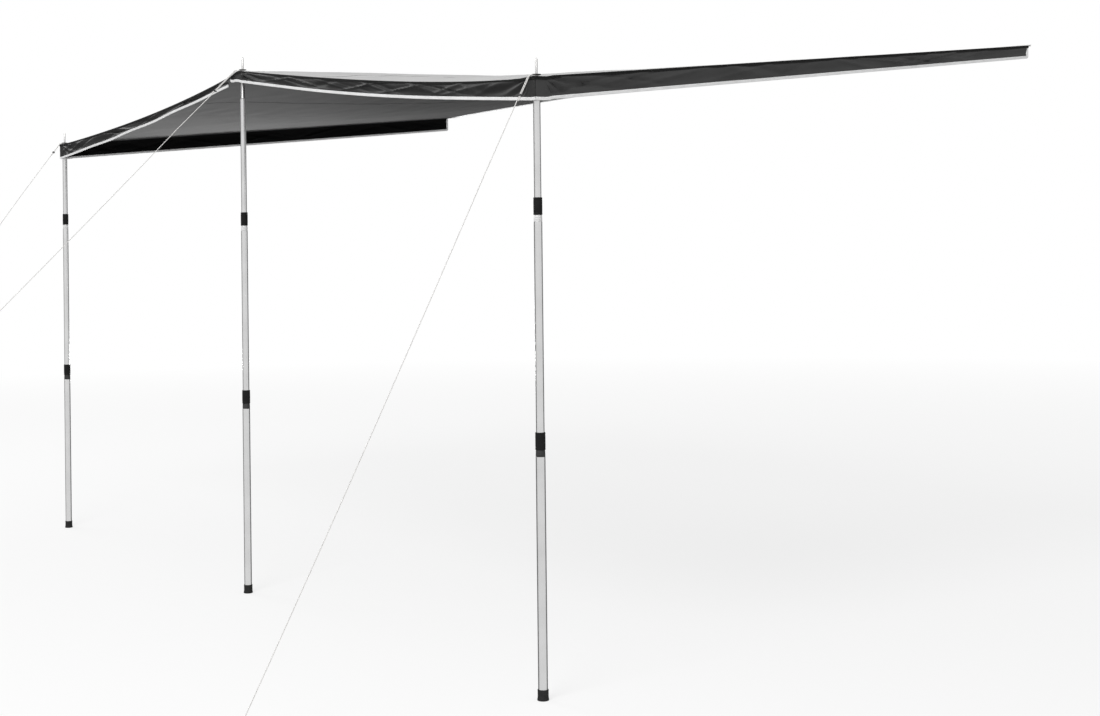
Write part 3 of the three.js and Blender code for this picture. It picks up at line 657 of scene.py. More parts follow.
def line_frame(name):
    """Where a guy line starts, its peg's foot, its slope and its directions."""
    lift = FLANGE_FACE + SEAT_GAP + LINE_RADIUS
    start = np.array([POLE_X[name], -CANOPY_DEPTH, EYELET_HEIGHT[name] + lift])
    aim = np.array([PEG_ALONG[name], -PEG_OUT[name], 0.0])
    ahead = unit(aim)
    aside = np.cross(UP, ahead)
    peg = start + aim
    peg[2] = GROUND
    bend_start = (EDGE_INSET + LOOP_RADIUS * abs(aside[1])) / -ahead[1] - EDGE_BEND_LEAD
    slope = math.atan2(start[2] - GROUND - LINE_ON_PEG, np.linalg.norm(aim) - bend_start)
    down = ahead * math.cos(slope) - UP * math.sin(slope)
    lean = UP * math.cos(PEG_LEAN) + ahead * math.sin(PEG_LEAN)
    past = unit(np.cross(aside, lean))
    return SimpleNamespace(
        start=start, ahead=ahead, aside=aside, peg=peg, bend_start=bend_start, slope=slope,
        down=down, lean=lean, past=past,
    )


def edge_bend(line, offset):
    """The bend over the sheet's edge, on one side of the loop."""
    angle = np.linspace(0, line.slope, BEND_STEPS + 1)[:, None]
    out = line.ahead * (line.bend_start + EDGE_BEND_RADIUS * np.sin(angle))
    return line.start + line.aside * offset + out + UP * EDGE_BEND_RADIUS * (np.cos(angle) - 1)


def main_route(name, line):
    """From the slider's side round the spike, over the edge, down with a sag and round the peg."""
    angle = np.linspace(math.pi / 2, 1.5 * math.pi, LOOP_STEPS + 1)[:, None]
    loop = line.start + LOOP_RADIUS * (line.ahead * np.cos(angle) + line.aside * np.sin(angle))
    slack = LOOP_RADIUS - LINE_RADIUS - PEG_RADIUS - SEAT_GAP
    centre = line.peg + line.lean * LINE_ON_PEG / math.cos(PEG_LEAN) - line.past * slack
    angle = np.linspace(0, PEG_TURN, PEG_STEPS + 1)[:, None]
    turn = centre + LOOP_RADIUS * (line.past * np.sin(angle) - line.aside * np.cos(angle))
    bend = edge_bend(line, -LOOP_RADIUS)
    start = bend[-1] + line.down * STRAIGHT_RUN
    end = turn[0] - line.down * LOOP_RADIUS
    share = np.linspace(0, 1, RUN_STEPS + 1)[:, None]
    run = start + (end - start) * share - UP * 4 * LINE_SAG[name] * share * (1 - share)
    return np.concatenate([edge_bend(line, LOOP_RADIUS)[::-1], loop, bend, run, turn])


def make_knot(name, place, along, body):
    """A pulled-tight overhand knot, as a small trefoil of cord."""
    turn = np.linspace(0, TURN, KNOT_STEPS)
    wide = np.sin(turn) + 2 * np.sin(2 * turn)
    deep = np.cos(turn) - 2 * np.cos(2 * turn)
    flat = np.stack([wide, deep, -1.5 * np.sin(3 * turn)], axis=-1)
    across = unit(np.cross(along, KNOT_TILT))
    basis = np.stack([across, np.cross(along, across), along])
    loops = place + flat * KNOT_SIZE * KNOT_TIGHT_SHARE @ basis
    return settle(tube(name, loops, LINE_RADIUS * KNOT_CORD_SHARE, 10, CORD), body)


def make_peg(name, line):
    """A round steel peg with a hooked head, as far as it shows above the ground."""
    top = PEG_HEIGHT / math.cos(PEG_LEAN) - PEG_HOOK_RADIUS
    angle = np.linspace(0, math.pi, 25)[:, None]
    hook = line.peg + line.lean * (top + PEG_HOOK_RADIUS * np.sin(angle))
    hook = hook + line.past * PEG_HOOK_RADIUS * (1 - np.cos(angle))
    low = line.peg + line.lean * np.linspace(-PEG_RADIUS, top - PEG_HOOK_LEAD, 9)[:, None]
    tip = hook[-1] - line.lean * (PEG_HOOK_TIP * PEG_TIP_PLACE_SHARES)[:, None]
    points = np.concatenate([low, hook, tip])
    radii = np.full(len(points), PEG_RADIUS)
    radii[-3:] *= PEG_TIP_SIZE_SHARES
    peg = tube(f"{name}_peg_bar", points, PEG_RADIUS, 24, ZINC, radii)
    for vertex in peg.data.vertices:
        vertex.co.z = max(vertex.co.z, GROUND)
    peg.data.update()
    return settle(peg, "canopy", f"{name}_peg")


def make_guy_line(name):
    line = line_frame(name)
    route = main_route(name, line)
    peg = make_peg(name, line)
    main = tube(f"{name}_line_main", route, LINE_RADIUS, LINE_SIDES, CORD)
    settle(main, "canopy", f"{name}_guy_line")
    hitch = make_knot(f"{name}_line_hitch", route[-1] - line.down * KNOT_SIZE, line.down, "canopy")
    start = edge_bend(line, LOOP_RADIUS)[-1]
    reach = SLIDER_FROM_EDGE[name] + SLIDER_THICKNESS / 2 + KNOT_GAP
    strand = start + line.down * np.linspace(0, reach, 12)[:, None]
    tail = tube(f"{name}_line_tail", strand, LINE_RADIUS, LINE_SIDES, CORD)
    settle(tail, "canopy")
    stopper = make_knot(f"{name}_line_stopper", strand[-1], line.down, f"{name}_slider")
    steps = np.linspace(0, 1, len(STUB_SIZE_SHARES))[:, None]
    droop = (line.aside * STUB_SWAY - UP * STUB_DROOP) * steps**2
    end = strand[-1] + line.down * TAIL_STUB * steps + droop
    stub = tube(f"{name}_line_end", end, LINE_RADIUS, LINE_SIDES, CORD, LINE_RADIUS * STUB_SIZE_SHARES)
    settle(stub, f"{name}_slider")
    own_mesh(tail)


for pole_name in POLE_X:
    make_guy_line(pole_name)


# Roof

HOLE_CELL = 4 * MM
HOLE_CELLS = np.arange(-4, 5) * HOLE_CELL
HOLE_RIM = 2 * HOLE_CELL  # half the square of cells that is left out round each eyelet
ROW_CROWDING = 1.35  # above 1, the rows crowd toward the front
WRAP_STEPS = np.array([0.25, 0.5, 0.75, 1.0, 1.3, 1.6, 1.85, 2.0])  # 1 ends the arc and 2 the fold
WRAP_RADIUS = 2.5 * MM  # of the sheet's fold over its edge
WRAP_HANG = 8 * MM  # straight part of the fold below the arc
WRAP_TUCK = 1.7 * MM  # how far the fold draws in at its end


def wrap_out(t):
    arc = WRAP_RADIUS * np.sin(np.clip(t, 0, 1) * math.pi / 2)
    return arc - WRAP_TUCK * np.clip(t - 1, 0, 1) ** 2


def wrap_fall(t):
    arc = WRAP_RADIUS * (1 - np.cos(np.clip(t, 0, 1) * math.pi / 2))
    return arc + WRAP_HANG * np.clip(t - 1, 0, 1)


def roof_grid():
    """Grid places of the sheet, with a fine patch round each eyelet, and the cells that are kept."""
    xs = [pole_x + HOLE_CELLS for pole_x in POLE_X.values()]
    gaps = [spread_places([xs[i][-1], xs[i + 1][0]], HALF_SPAN / ROOF_COLUMNS)[1:-1] for i in range(2)]
    columns = np.concatenate([[-SIDE_EDGE], xs[0], gaps[0], xs[1], gaps[1], xs[2], [SIDE_EDGE]])
    hole_rows = -CANOPY_DEPTH - HOLE_CELLS
    crowded = 1 - (1 - np.linspace(0, 1, ROOF_ROWS)) ** ROW_CROWDING
    behind = -REAR_CLEARANCE + (hole_rows[0] + REAR_CLEARANCE) * crowded
    rows = np.concatenate([behind[:-1], hole_rows, [FRONT_EDGE]])
    kept = np.ones((len(rows) - 1, len(columns) - 1), bool)
    middle_x = (columns[1:] + columns[:-1]) / 2
    middle_y = (rows[1:] + rows[:-1]) / 2
    for pole_x in POLE_X.values():
        near_x = np.abs(middle_x - pole_x) < HOLE_RIM
        near_y = np.abs(middle_y + CANOPY_DEPTH) < HOLE_RIM
        kept[np.outer(near_y, near_x)] = False
    return rows, columns, kept


def make_roof():
    rows, columns, kept = roof_grid()
    wraps = len(WRAP_STEPS)
    kept = np.pad(kept, ((0, wraps), (wraps, wraps)), constant_values=True)
    x, y = np.meshgrid(np.pad(columns, wraps, mode="edge"), np.pad(rows, (0, wraps), mode="edge"))
    for pole_x in POLE_X.values():
        dx, dy = x - pole_x, y + CANOPY_DEPTH
        on_rim = np.isclose(np.maximum(np.abs(dx), np.abs(dy)), HOLE_RIM)
        away = np.maximum(np.hypot(dx, dy), 1e-9)
        x = np.where(on_rim, pole_x + dx / away * HOLE_RADIUS, x)
        y = np.where(on_rim, -CANOPY_DEPTH + dy / away * HOLE_RADIUS, y)
    across = np.concatenate([-WRAP_STEPS[::-1], np.zeros(len(columns)), WRAP_STEPS])[None, :]
    ahead = np.concatenate([np.zeros(len(rows)), WRAP_STEPS])[:, None]
    wrapped = np.maximum(np.abs(across), ahead)
    out = wrap_out(wrapped) / np.maximum(np.hypot(across, ahead), 1e-9)
    grid = points_at(x + across * out, y - ahead * out, sheet_height(x, y) - wrap_fall(wrapped))
    top, bottom = both_faces(grid, -grid_normals(grid), CLOTH)
    # The underside takes the darkened cloth: painted shade.
    roof = shell("roof_sheet", top, bottom, [OUTER, UNDER_SHADE, OUTER, FOLD_SHADE_CLOTH], 60, kept)
    # Faces of the fold over the edge take the near-black cloth: painted shade.
    for face in roof.data.polygons:
        if abs(face.center.x) > SIDE_EDGE or face.center.y < FRONT_EDGE:
            face.material_index = 3
    settle(roof, "canopy", "roof_panel")


make_roof()


# Stitching

STITCH_LENGTH = 4.2 * MM
STITCH_GAP = 1.6 * MM
STITCH_RADIUS = 0.34 * MM
STITCH_SIDES = 4  # so that its ends are quads too
STITCH_PLACE_SHARES = np.array([0, 0.25, 0.75, 1])
STITCH_RISE_SHARES = np.array([-0.7, 0.75, 0.75, -0.7])
STITCH_SIZE_SHARES = np.array([0.5, 1, 1, 0.5])


def stitches(name, points, outward, material):
    """A row of stitches along a line of points. outward has the surface's normal at each point."""
    outward = np.broadcast_to(outward, points.shape)
    length = lengths_along(points)
    starts = np.arange(STITCH_GAP, length[-1] - STITCH_LENGTH, STITCH_LENGTH + STITCH_GAP)
    at = starts[:, None] + STITCH_PLACE_SHARES * STITCH_LENGTH
    place = np.stack([np.interp(at, length, points[:, k]) for k in range(3)], axis=-1)
    normal = unit(np.stack([np.interp(at, length, outward[:, k]) for k in range(3)], axis=-1))
    along = unit(place[:, -1:] - place[:, :1])
    across = np.cross(np.broadcast_to(along, normal.shape), normal)
    place = place + normal * (STITCH_RISE_SHARES * STITCH_RADIUS)[:, None]
    angles = np.linspace(0, TURN, STITCH_SIDES, endpoint=False)[:, None]
    ring = across[:, :, None] * np.cos(angles) + normal[:, :, None] * np.sin(angles)
    body = place[:, :, None] + ring * (STITCH_SIZE_SHARES * STITCH_RADIUS)[:, None, None]
    rows = len(STITCH_PLACE_SHARES)
    first = np.arange(len(starts))[:, None, None] * rows * STITCH_SIDES
    faces = (np.array(bar_faces(rows, STITCH_SIDES, turned=1)) + first).reshape(-1, 4).tolist()
    settle(solid(name, body, faces, [material]), "canopy")


# Tapes

TAPE_SIDES = 20
TAPE_SQUARENESS = 5


def ribbon(name, path, inward, outward, half_width, half_thickness, material, node=None):
    """A flat tape with soft edges along a path. Its width lies along inward."""
    angle = np.linspace(0, TURN, TAPE_SIDES, endpoint=False)
    powers = np.abs(np.cos(angle)) ** TAPE_SQUARENESS + np.abs(np.sin(angle)) ** TAPE_SQUARENESS
    reach = powers ** (-1 / TAPE_SQUARENESS)
    wide = (half_width * reach * np.cos(angle))[:, None]
    thick = (half_thickness * reach * np.sin(angle))[:, None]
    inward = np.broadcast_to(inward, path.shape)[:, None]
    outward = np.broadcast_to(outward, path.shape)[:, None]
    points = path[:, None] + inward * wide + outward * thick
    made = solid(name, points, bar_faces(len(path), TAPE_SIDES, turned=1), [material], 70)
    return settle(made, "canopy", node)


# Valances

UNDER_ROOF = CAD_CLOTH / 2 + SEAT_GAP
TOP_GAP = 1 * MM
HEM_TUCK = 7 * MM  # cloth inside the binding
TAPE_STITCH_INSET = 2.6 * MM
TAPE_CORNER = 6 * MM
LONG_HOLLOW = 2.2 * MM
HOLLOW_LENGTH = 600 * MM
CREASE_DEPTH = 5 * MM
CREASE_PITCH = 120 * MM
CREASE_LEAN = 250 * MM
CREASE_HALF = (22 * MM, 48 * MM)
CORNER_STAR = 6 * MM
CORNER_REACH = 320 * MM
CORNER_RAYS = 20
POLE_CLEAR = (14 * MM, 60 * MM)  # the strip stays flat where a pole stands behind it


def valance_relief(s, down, seed, corners):
    """Sideways relief of a hanging strip: a long hollow, slanting creases and rays at the poles."""
    random = np.random.default_rng(seed)
    fade = np.sin(np.pi * np.clip(down, 0, 1)) ** 0.7
    swell = 0.65 + 0.35 * np.sin(TURN * s / HOLLOW_LENGTH + seed)
    relief = LONG_HOLLOW * np.sin(TURN * np.clip(down, 0, 1)) * swell
    for start in np.arange(s.min(), s.max(), CREASE_PITCH):
        place = start + random.uniform(-0.4, 0.4) * CREASE_PITCH
        lean = random.choice((-1, 1)) * random.uniform(0.6, 1.7) * CREASE_LEAN
        depth = random.choice((-1, 1)) * random.uniform(0.4, 1.0) * CREASE_DEPTH
        half = random.uniform(*CREASE_HALF)
        relief = relief + depth * np.exp(-(((s - place - lean * down) / half) ** 2)) * fade
    for corner in corners:
        away = np.abs(s - corner)
        angle = np.arctan2((down + 0.06) * CORNER_DROP, away)
        rays = np.sin(CORNER_RAYS * angle) * np.exp(-away / CORNER_REACH)
        relief = (relief + CORNER_STAR * rays * fade) * smooth(*POLE_CLEAR, away)
    return relief


def front_top(x):
    return sheet_height(x, FRONT_EDGE) - UNDER_ROOF


def front_hem(x):
    """Hem of the front valance. Beside the middle pole the right one is cut away to a notch."""
    drop = RIDGE_DROP + (CORNER_DROP - RIDGE_DROP) * np.minimum(np.abs(x) / HALF_SPAN, 1)
    hem = -front_fall(x) - UNDER_ROOF - drop - by_side(HEM_SAG, x) * bay_shape(x)
    into_notch = np.clip((x + NOTCH_END) / NOTCH_RUN, 0, 1)
    full = front_top(x) - hem
    notched = NOTCH_HEIGHT + (full - NOTCH_HEIGHT) * np.sqrt(into_notch)
    return front_top(x) - np.where(x > -NOTCH_START, notched, full)


def side_top(side, y):
    """Top of a side valance. side is 1 on the right and -1 on the left."""
    return sheet_height(side * SIDE_EDGE, y) - UNDER_ROOF


def side_hem(side, y):
    reach = np.minimum(-y / CANOPY_DEPTH, 1)
    rear_drop = by_side(REAR_DROP, side)
    return side_top(side, y) - (rear_drop + (CORNER_DROP - rear_drop) * reach)


def front_swing(x):
    return FOLD_DEPTH * np.sin(TURN * FRONT_FOLDS * np.abs(x) / HALF_SPAN) * bay_shape(x)


def side_swing(y):
    reach = np.minimum(-y / CANOPY_DEPTH, 1)
    return FOLD_DEPTH * np.sin(TURN * SIDE_FOLDS * reach) * np.sin(np.pi * reach)


def hang_strip(name, node, seed, along, top, hem, swing, corners, at, outward, cloth):
    """A strip of cloth from its seam down into its binding."""
    top = top - TOP_GAP
    low = hem - HEM_TUCK
    z = top + (low - top) * np.linspace(0, 1, VALANCE_ROWS + 1)[:, None]
    hung = (top - z) / (top - hem)
    offset = swing * np.minimum(hung, 1) ** 1.5 + valance_relief(along + 0 * z, hung, seed, corners)
    grid = at(along, z) + outward * offset[..., None]
    # The strip's inner face takes the near-black cloth: painted shade.
    strip = shell(name, *both_faces(grid, outward, CLOTH), [cloth, INNER_SHADE_CLOTH, cloth], 60)
    settle(strip, "canopy", node)


def bind_hem(name, node, path, inward, outward, material):
    """The tape on a hem, with stitches near its inner edge on both faces."""
    half = BINDING_HEIGHT / 2
    ribbon(name, path, inward, outward, half, BINDING_HALF, material, node)
    line = path + inward * (half - TAPE_STITCH_INSET)
    for face, sign in (("outer", 1), ("inner", -1)):
        lifted = line + outward * sign * BINDING_HALF
        stitches(f"{name}_stitches_{face}", lifted, sign * outward, WHITE_THREAD)


def make_front_valance(name, low, high, seed):
    x = spread_places([low, high], VALANCE_STEP)
    outward = np.array([0.0, -1.0, 0.0])
    plane = FRONT_EDGE + CAD_CLOTH / 2
    poles = [pole_x for pole_x in POLE_X.values() if low - MM < pole_x < high + MM]

    def at(place, z):
        return points_at(place, plane, z)

    hang_strip(
        f"front_strip_{name}", f"front_valance_{name}", seed, x, front_top(x), front_hem(x),
        front_swing(x), poles, at, outward, FRONT_CLOTH,
    )
    path = at(x, front_hem(x) - SEAT_GAP - BINDING_HEIGHT / 2) + outward * front_swing(x)[:, None]
    bind_hem(f"front_tape_{name}", f"front_binding_{name}", path, UP, outward, FRONT_TAPE)


def make_side_valance(name, side, seed):
    front = FRONT_EDGE + (CAD_CLOTH + CAD_BINDING) / 2 + SEAT_GAP
    rear = -REAR_CLEARANCE - BINDING_HEIGHT - SEAT_GAP
    y = spread_places([front, rear], VALANCE_STEP)
    outward = np.array([float(side), 0.0, 0.0])
    plane = side * (SIDE_EDGE - CAD_CLOTH / 2)

    def at(place, z):
        return points_at(plane, place, z)

    hang_strip(
        f"side_strip_{name}", f"side_valance_{name}", seed, y, side_top(side, y), side_hem(side, y),
        side_swing(y), [-CANOPY_DEPTH], at, outward, SIDE_CLOTH,
    )
    half = BINDING_HEIGHT / 2
    upright = rear + SEAT_GAP + half
    hem_y = y[y < upright - half - TAPE_CORNER]
    hem_z = side_hem(side, hem_y) - SEAT_GAP - half
    low = float(side_hem(side, rear) - SEAT_GAP - half)
    angle = np.linspace(0, math.pi / 2, 9)
    bend_y = upright - TAPE_CORNER + TAPE_CORNER * np.sin(angle)
    bend_z = low + TAPE_CORNER * (1 - np.cos(angle))
    rise = spread_places([low + TAPE_CORNER, float(side_top(side, rear))], VALANCE_STEP)[1:]
    path_y = np.concatenate([hem_y, bend_y, np.full(len(rise), upright)])
    path_z = np.concatenate([hem_z, bend_z, rise])
    swing = np.concatenate([side_swing(hem_y), np.zeros(len(bend_y) + len(rise))])
    path = at(path_y, path_z) + outward * swing[:, None]
    inward = unit(np.cross((1, 0, 0), frames_along(path)[0]))
    bind_hem(f"side_tape_{name}", f"side_binding_{name}", path, inward, outward, SIDE_TAPE)


make_front_valance("left", -SIDE_EDGE, -NOTCH_START, 11)
make_front_valance("right", -NOTCH_END, SIDE_EDGE, 12)
make_side_valance("left", -1, 13)
make_side_valance("right", 1, 14)


# Seams and patches of the sheet

# Seams and patches on the underside take the underside's darkened cloth: painted shade, like the
# underside.
SHEET_FACES = (("top", 1, OUTER), ("under", -1, UNDER_SHADE))
SUNK = 0.1 * MM  # how far sewn cloth sinks into the sheet
SEAM_STEP = 20 * MM
FOLD_STITCH_PLACE = 1.72  # on the fold over the edge
SEAM_PLACE = 740 * MM  # from the canopy's middle
SEAM_HALF = 7 * MM
SEAM_THICKNESS = 0.5 * MM
SEAM_STITCH_INSET = 2.2 * MM
SEAM_FROM_REAR = 14 * MM
SEAM_FROM_FRONT = 8 * MM
PATCH_REACH = 78 * MM
PATCH_EDGE = 18 * MM  # how near it comes to the sheet's edges, from the eyelet's middle
PATCH_THICKNESS = 0.6 * MM
PATCH_SQUARENESS = 7
PATCH_STEPS = 14
PATCH_SIDES = 96
PATCH_STITCH_INSET = 2.4 * MM


def sew_folds():
    out = float(wrap_out(FOLD_STITCH_PLACE)) + CLOTH / 2
    fall = float(wrap_fall(FOLD_STITCH_PLACE))
    x = spread_places([-SIDE_EDGE, SIDE_EDGE], SEAM_STEP)
    line = points_at(x, FRONT_EDGE - out, sheet_height(x, FRONT_EDGE) - fall)
    stitches("front_fold_stitches", line, (0, -1, 0), DARK_THREAD)
    y = spread_places([FRONT_EDGE, -REAR_CLEARANCE], SEAM_STEP)
    for name, side in (("left", -1), ("right", 1)):
        line = points_at(side * (SIDE_EDGE + out), y, sheet_height(side * SIDE_EDGE, y) - fall)
        stitches(f"side_fold_stitches_{name}", line, (side, 0, 0), DARK_THREAD)


def make_seam(name, x):
    """A lapped seam from the rail to the front edge, on the sheet's top and underside."""
    y = spread_places([-REAR_CLEARANCE - SEAM_FROM_REAR, FRONT_EDGE + SEAM_FROM_FRONT], SEAM_STEP)
    slope = (sheet_height(x + SEAM_HALF, y) - sheet_height(x - SEAM_HALF, y)) / (2 * SEAM_HALF)
    aside = unit(points_at(1, 0, slope))
    for face, sign, cloth in SHEET_FACES:
        lift = sign * (CLOTH / 2 + SEAM_THICKNESS / 2 - SUNK)
        path = points_at(x, y, sheet_height(x, y) + lift)
        upward = unit(np.cross(aside, frames_along(path)[0]))
        upward = upward * np.sign(upward[:, 2:])
        seam = f"seam_{name}_{face}"
        ribbon(seam, path, aside, upward, SEAM_HALF, SEAM_THICKNESS / 2, cloth)
        for row, edge in (("first", -1), ("second", 1)):
            inset = aside * edge * (SEAM_HALF - SEAM_STITCH_INSET)
            line = path + inset + upward * sign * SEAM_THICKNESS / 2
            stitches(f"{seam}_{row}_row", line, upward * sign, DARK_THREAD)


def patch_reach(angle, x):
    """How far a patch reaches from its eyelet in each direction."""
    right = PATCH_EDGE if x > HALF_SPAN / 2 else PATCH_REACH
    left = PATCH_EDGE if x < -HALF_SPAN / 2 else PATCH_REACH
    wide = np.where(np.cos(angle) > 0, right, left)
    deep = np.where(np.sin(angle) > 0, PATCH_REACH, PATCH_EDGE)
    across = np.abs(np.cos(angle) / wide) ** PATCH_SQUARENESS
    powers = across + np.abs(np.sin(angle) / deep) ** PATCH_SQUARENESS
    return powers ** (-1 / PATCH_SQUARENESS)


def make_patch(name, x):
    """Doubled cloth round an eyelet, on the sheet's top and underside."""
    angle = np.append(np.linspace(0, TURN, PATCH_SIDES, endpoint=False), 0)
    reach = patch_reach(angle, x)

    def on_sheet(radius, lift):
        px, py = x + radius * np.cos(angle), -CANOPY_DEPTH + radius * np.sin(angle)
        return points_at(px, py, sheet_height(px, py) + lift)

    radius = HOLE_RADIUS + (reach - HOLE_RADIUS) * np.linspace(0, 1, PATCH_STEPS)[:, None]
    for face, sign, cloth in SHEET_FACES:
        near = on_sheet(radius, sign * (CLOTH / 2 - SUNK))
        far = near + UP * sign * PATCH_THICKNESS
        made = shell(f"{name}_patch_{face}", far, near, [cloth, cloth, cloth], 50)
        settle(made, "canopy")
        line = on_sheet(reach - PATCH_STITCH_INSET, sign * (CLOTH / 2 + PATCH_THICKNESS - SUNK))
        stitches(f"{name}_patch_{face}_stitches", line, (0, 0, sign), DARK_THREAD)


sew_folds()
make_seam("left", -SEAM_PLACE)
make_seam("right", SEAM_PLACE)
for pole_name, pole_x in POLE_X.items():
    make_patch(pole_name, pole_x)


# Keder

KEDER_RADIUS = 3.75 * MM
KEDER_TAPE_HALF = 0.35 * MM
KEDER_CORE = 2.5 * MM
KEDER_CORE_SHOWN = 1.5 * MM
KEDER_STEP = 24 * MM
KEDER_BEND = 2 * MM  # where the tape leaves the bead
KEDER_THINNEST = 0.45 * MM
KEDER_ROWS = np.array([2.2, 3.2, 4.4, 6, 8.5, 12, 16, 20, 24, 26]) * MM
KEDER_STITCH_PLACES = {"rear": 11 * MM, "front": 22 * MM}


def make_keder():
    """A cord sewn into a tape, whose two flanges hold the sheet's rear edge between them."""
    x = spread_places([-SIDE_EDGE, SIDE_EDGE], KEDER_STEP)
    rail = points_at(x, 0, -rail_fall(x))
    bead = tube("keder_bead", rail, KEDER_RADIUS, 28, KEDER_TAPE)
    settle(bead, "canopy", "keder")
    shown = rail.copy()
    shown[[0, -1], 0] += np.array([-1, 1]) * KEDER_CORE_SHOWN
    settle(tube("keder_core", shown, KEDER_CORE, 16, WHITE_THREAD), "canopy")
    y = -KEDER_ROWS[:, None]
    bead_share = smooth(-REAR_CLEARANCE, -KEDER_BEND, y)
    height = sheet_height(x[None], np.minimum(y, -REAR_CLEARANCE)) * (1 - bead_share)
    on_sheet = CLOTH / 2 + KEDER_TAPE_HALF
    on_bead = np.sqrt(np.maximum(KEDER_RADIUS**2 - y**2, KEDER_THINNEST**2))
    for face, sign in (("top", 1), ("under", -1)):
        lift = sign * (on_sheet + (on_bead - on_sheet) * bead_share**2)
        middle = points_at(x, y, height - rail_fall(x) * bead_share + lift)
        normal = grid_normals(middle)
        sides = both_faces(middle, normal * np.sign(normal[..., 2:]), 2 * KEDER_TAPE_HALF)
        flange = shell(f"keder_flange_{face}", *sides, [KEDER_TAPE, KEDER_TAPE, KEDER_TAPE], 60)
        settle(flange, "canopy")
        for row, place in KEDER_STITCH_PLACES.items():
            seam = sheet_height(x, -max(place, REAR_CLEARANCE))
            line = points_at(x, -place, seam + sign * (CLOTH / 2 + 2 * KEDER_TAPE_HALF))
            stitches(f"keder_{face}_{row}_stitches", line, (0, 0, sign), WHITE_THREAD)


make_keder()


# Turned pieces: eyelets, washers, spikes and poles

EYELET_BORE = 5.4 * MM
EYELET_WALL = 1.4 * MM
EYELET_RIM = 13.4 * MM
WASHER_RADIUS = 16 * MM
WASHER_BORE = 5.6 * MM
WASHER_THICKNESS = 3.2 * MM
SPIKE_RADIUS = 4 * MM
SPIKE_LENGTH = 62 * MM
SPIKE_TIP = 5 * MM
SPIKE_TIP_RADIUS = 1.6 * MM
SPIKE_PLUG = 34 * MM
CAP_DOME = 2.4 * MM
CAP_RIM = 2 * MM
CAP_EDGE = 0.5 * MM
NECK_LENGTH = {"left": 68 * MM, "middle": 112 * MM, "right": 68 * MM}  # of the shank above the tube
NECK_RADIUS = 8 * MM
NECK_SHOULDER = 3 * MM  # rise of the plug's shoulder on the tube's end
TUBE_WALL = 0.8 * MM
UPPER_TUBE = 12 * MM
MIDDLE_TUBE = 14 * MM
LOWER_TUBE = 16 * MM
UPPER_TUBE_REACH = 800 * MM  # of the upper tube and the neck above it
MIDDLE_TUBE_LENGTH = 900 * MM
LOWER_LOCK_TOP = 875 * MM
UPPER_LOCK_TOP = {"left": 1682 * MM, "middle": 1642 * MM, "right": 1642 * MM}
TUBE_LIP = 0.35 * MM
COLLAR_HEIGHT = 57 * MM
COLLAR_WALL = 1.2 * MM
COLLAR_RIB = 0.5 * MM
COLLAR_RIBS = 16
COLLAR_LIP = 8 * MM
COLLAR_BAND = 7 * MM
RIB_START = 1 * MM
RIB_FULL = 2.5 * MM
RIB_FULL_SHARE = 1.15
RIB_START_SHARE = 0.4
NEAR = 0.01 * MM
NECK_HEIGHT = 22 * MM
NECK_TAPER = 0.8 * MM
NECK_RING = 0.55 * MM
NECK_SHARES = (0.1, 0.3, 0.36, 0.42, 0.62, 0.68, 0.74, 0.96)
NECK_RING_SHARES = (0.36, 0.68)
SPIGOT_LENGTH = 18 * MM
FINGER_LENGTH = 46 * MM
FOOT_HEIGHT = 36 * MM
FOOT_FLOOR = 6 * MM
FOOT_WALL = 1.6 * MM
FOOT_FLARE = 1.6 * MM
FOOT_RINGS = (13 * MM, 18 * MM, 23 * MM)
SOLE_GROOVES = (4 * MM, 8 * MM, 12 * MM, 15.5 * MM)

# How the turned pieces' corners are softened: points out and up from a corner, in millimetres
SOFTENED = {
    "eyelet_lip": ((0, -0.7), (0.3, -0.2), (1.2, 0), (3, -0.05)),
    "eyelet_roll": ((-2.5, -0.3), (-0.5, -0.75)),
    "eyelet_rim": ((0, 0.15), (-0.2, 0)),
    "ring_seat": ((-0.2, 0), (0, -0.3)),
    "ring_rim": ((-0.4, 0.2), (-1.6, 0.1)),
    "barrel_step": ((1.2, 0.25), (0.8, 0)),
    "barrel_roll": ((0.5, 0), (0, 0.5)),
    "washer_foot": ((0, 0.4), (0.4, 0)),
    "washer_rim": ((-0.8, 0), (0, 0.8), (0, 1.7), (-0.6, 2.4), (-2, 2.7), (-3, 2.2)),
    "washer_dish": ((4, 2), (3, 2.6)),
    "washer_hub": ((2.2, 0), (0.4, 0), (0, -0.4)),
    "plug_end": ((-1.5, 0), (0, 2)),
    "tube_seat": ((-0.2, 0), (0, 0.3), (0, 1)),
    "shank_foot": ((1.2, -0.4), (0.3, 0), (0, 0.6)),
    "shank_top": ((0, -0.6), (0.6, 0)),
    "cap_foot": ((-0.3, 0), (0, 0.3)),
    "spigot_end": ((-0.6, 0), (0, 1)),
    "neck_foot": ((-0.3, 0),),
    "neck_top": ((-0.5, 0),),
    "collar_foot": ((0, 0.4), (0.4, 0)),
    "band_foot": ((-0.8, 0), (-0.2, 0.5), (0, 1.4)),
    "band_top": ((0, -1.2),),
    "rib_foot": ((0, 0), (0, 1.5), (0, 3.5)),
    "rib_top": ((0, -3.5), (0, -1.5), (0, 0)),
    "upper_band": ((0, 1.2),),
    "collar_rim": ((0, -2), (-0.7, -0.7), (-1.1, 0)),
    "mouth": ((0.3, 0), (0, -0.3)),
    "groove": ((0, 0), (0.4, 0.9), (1.3, 0.9), (1.7, 0)),
    "foot_rim": ((-1.6, 0), (-0.5, 0.5), (0, 1.6), (0, 3.5)),
    "foot_waist": ((0.5, 9),),
    "foot_ring": ((0.25, 0), (-0.5, 0.7), (-0.5, 1.5), (0.25, 2.2)),
    "foot_bead": ((0, -6), (0.4, -5), (0.4, -1.2), (-0.3, 0)),
}


def soft(radius, height, kind):
    return [(radius + out * MM, height + up * MM) for out, up in SOFTENED[kind]]


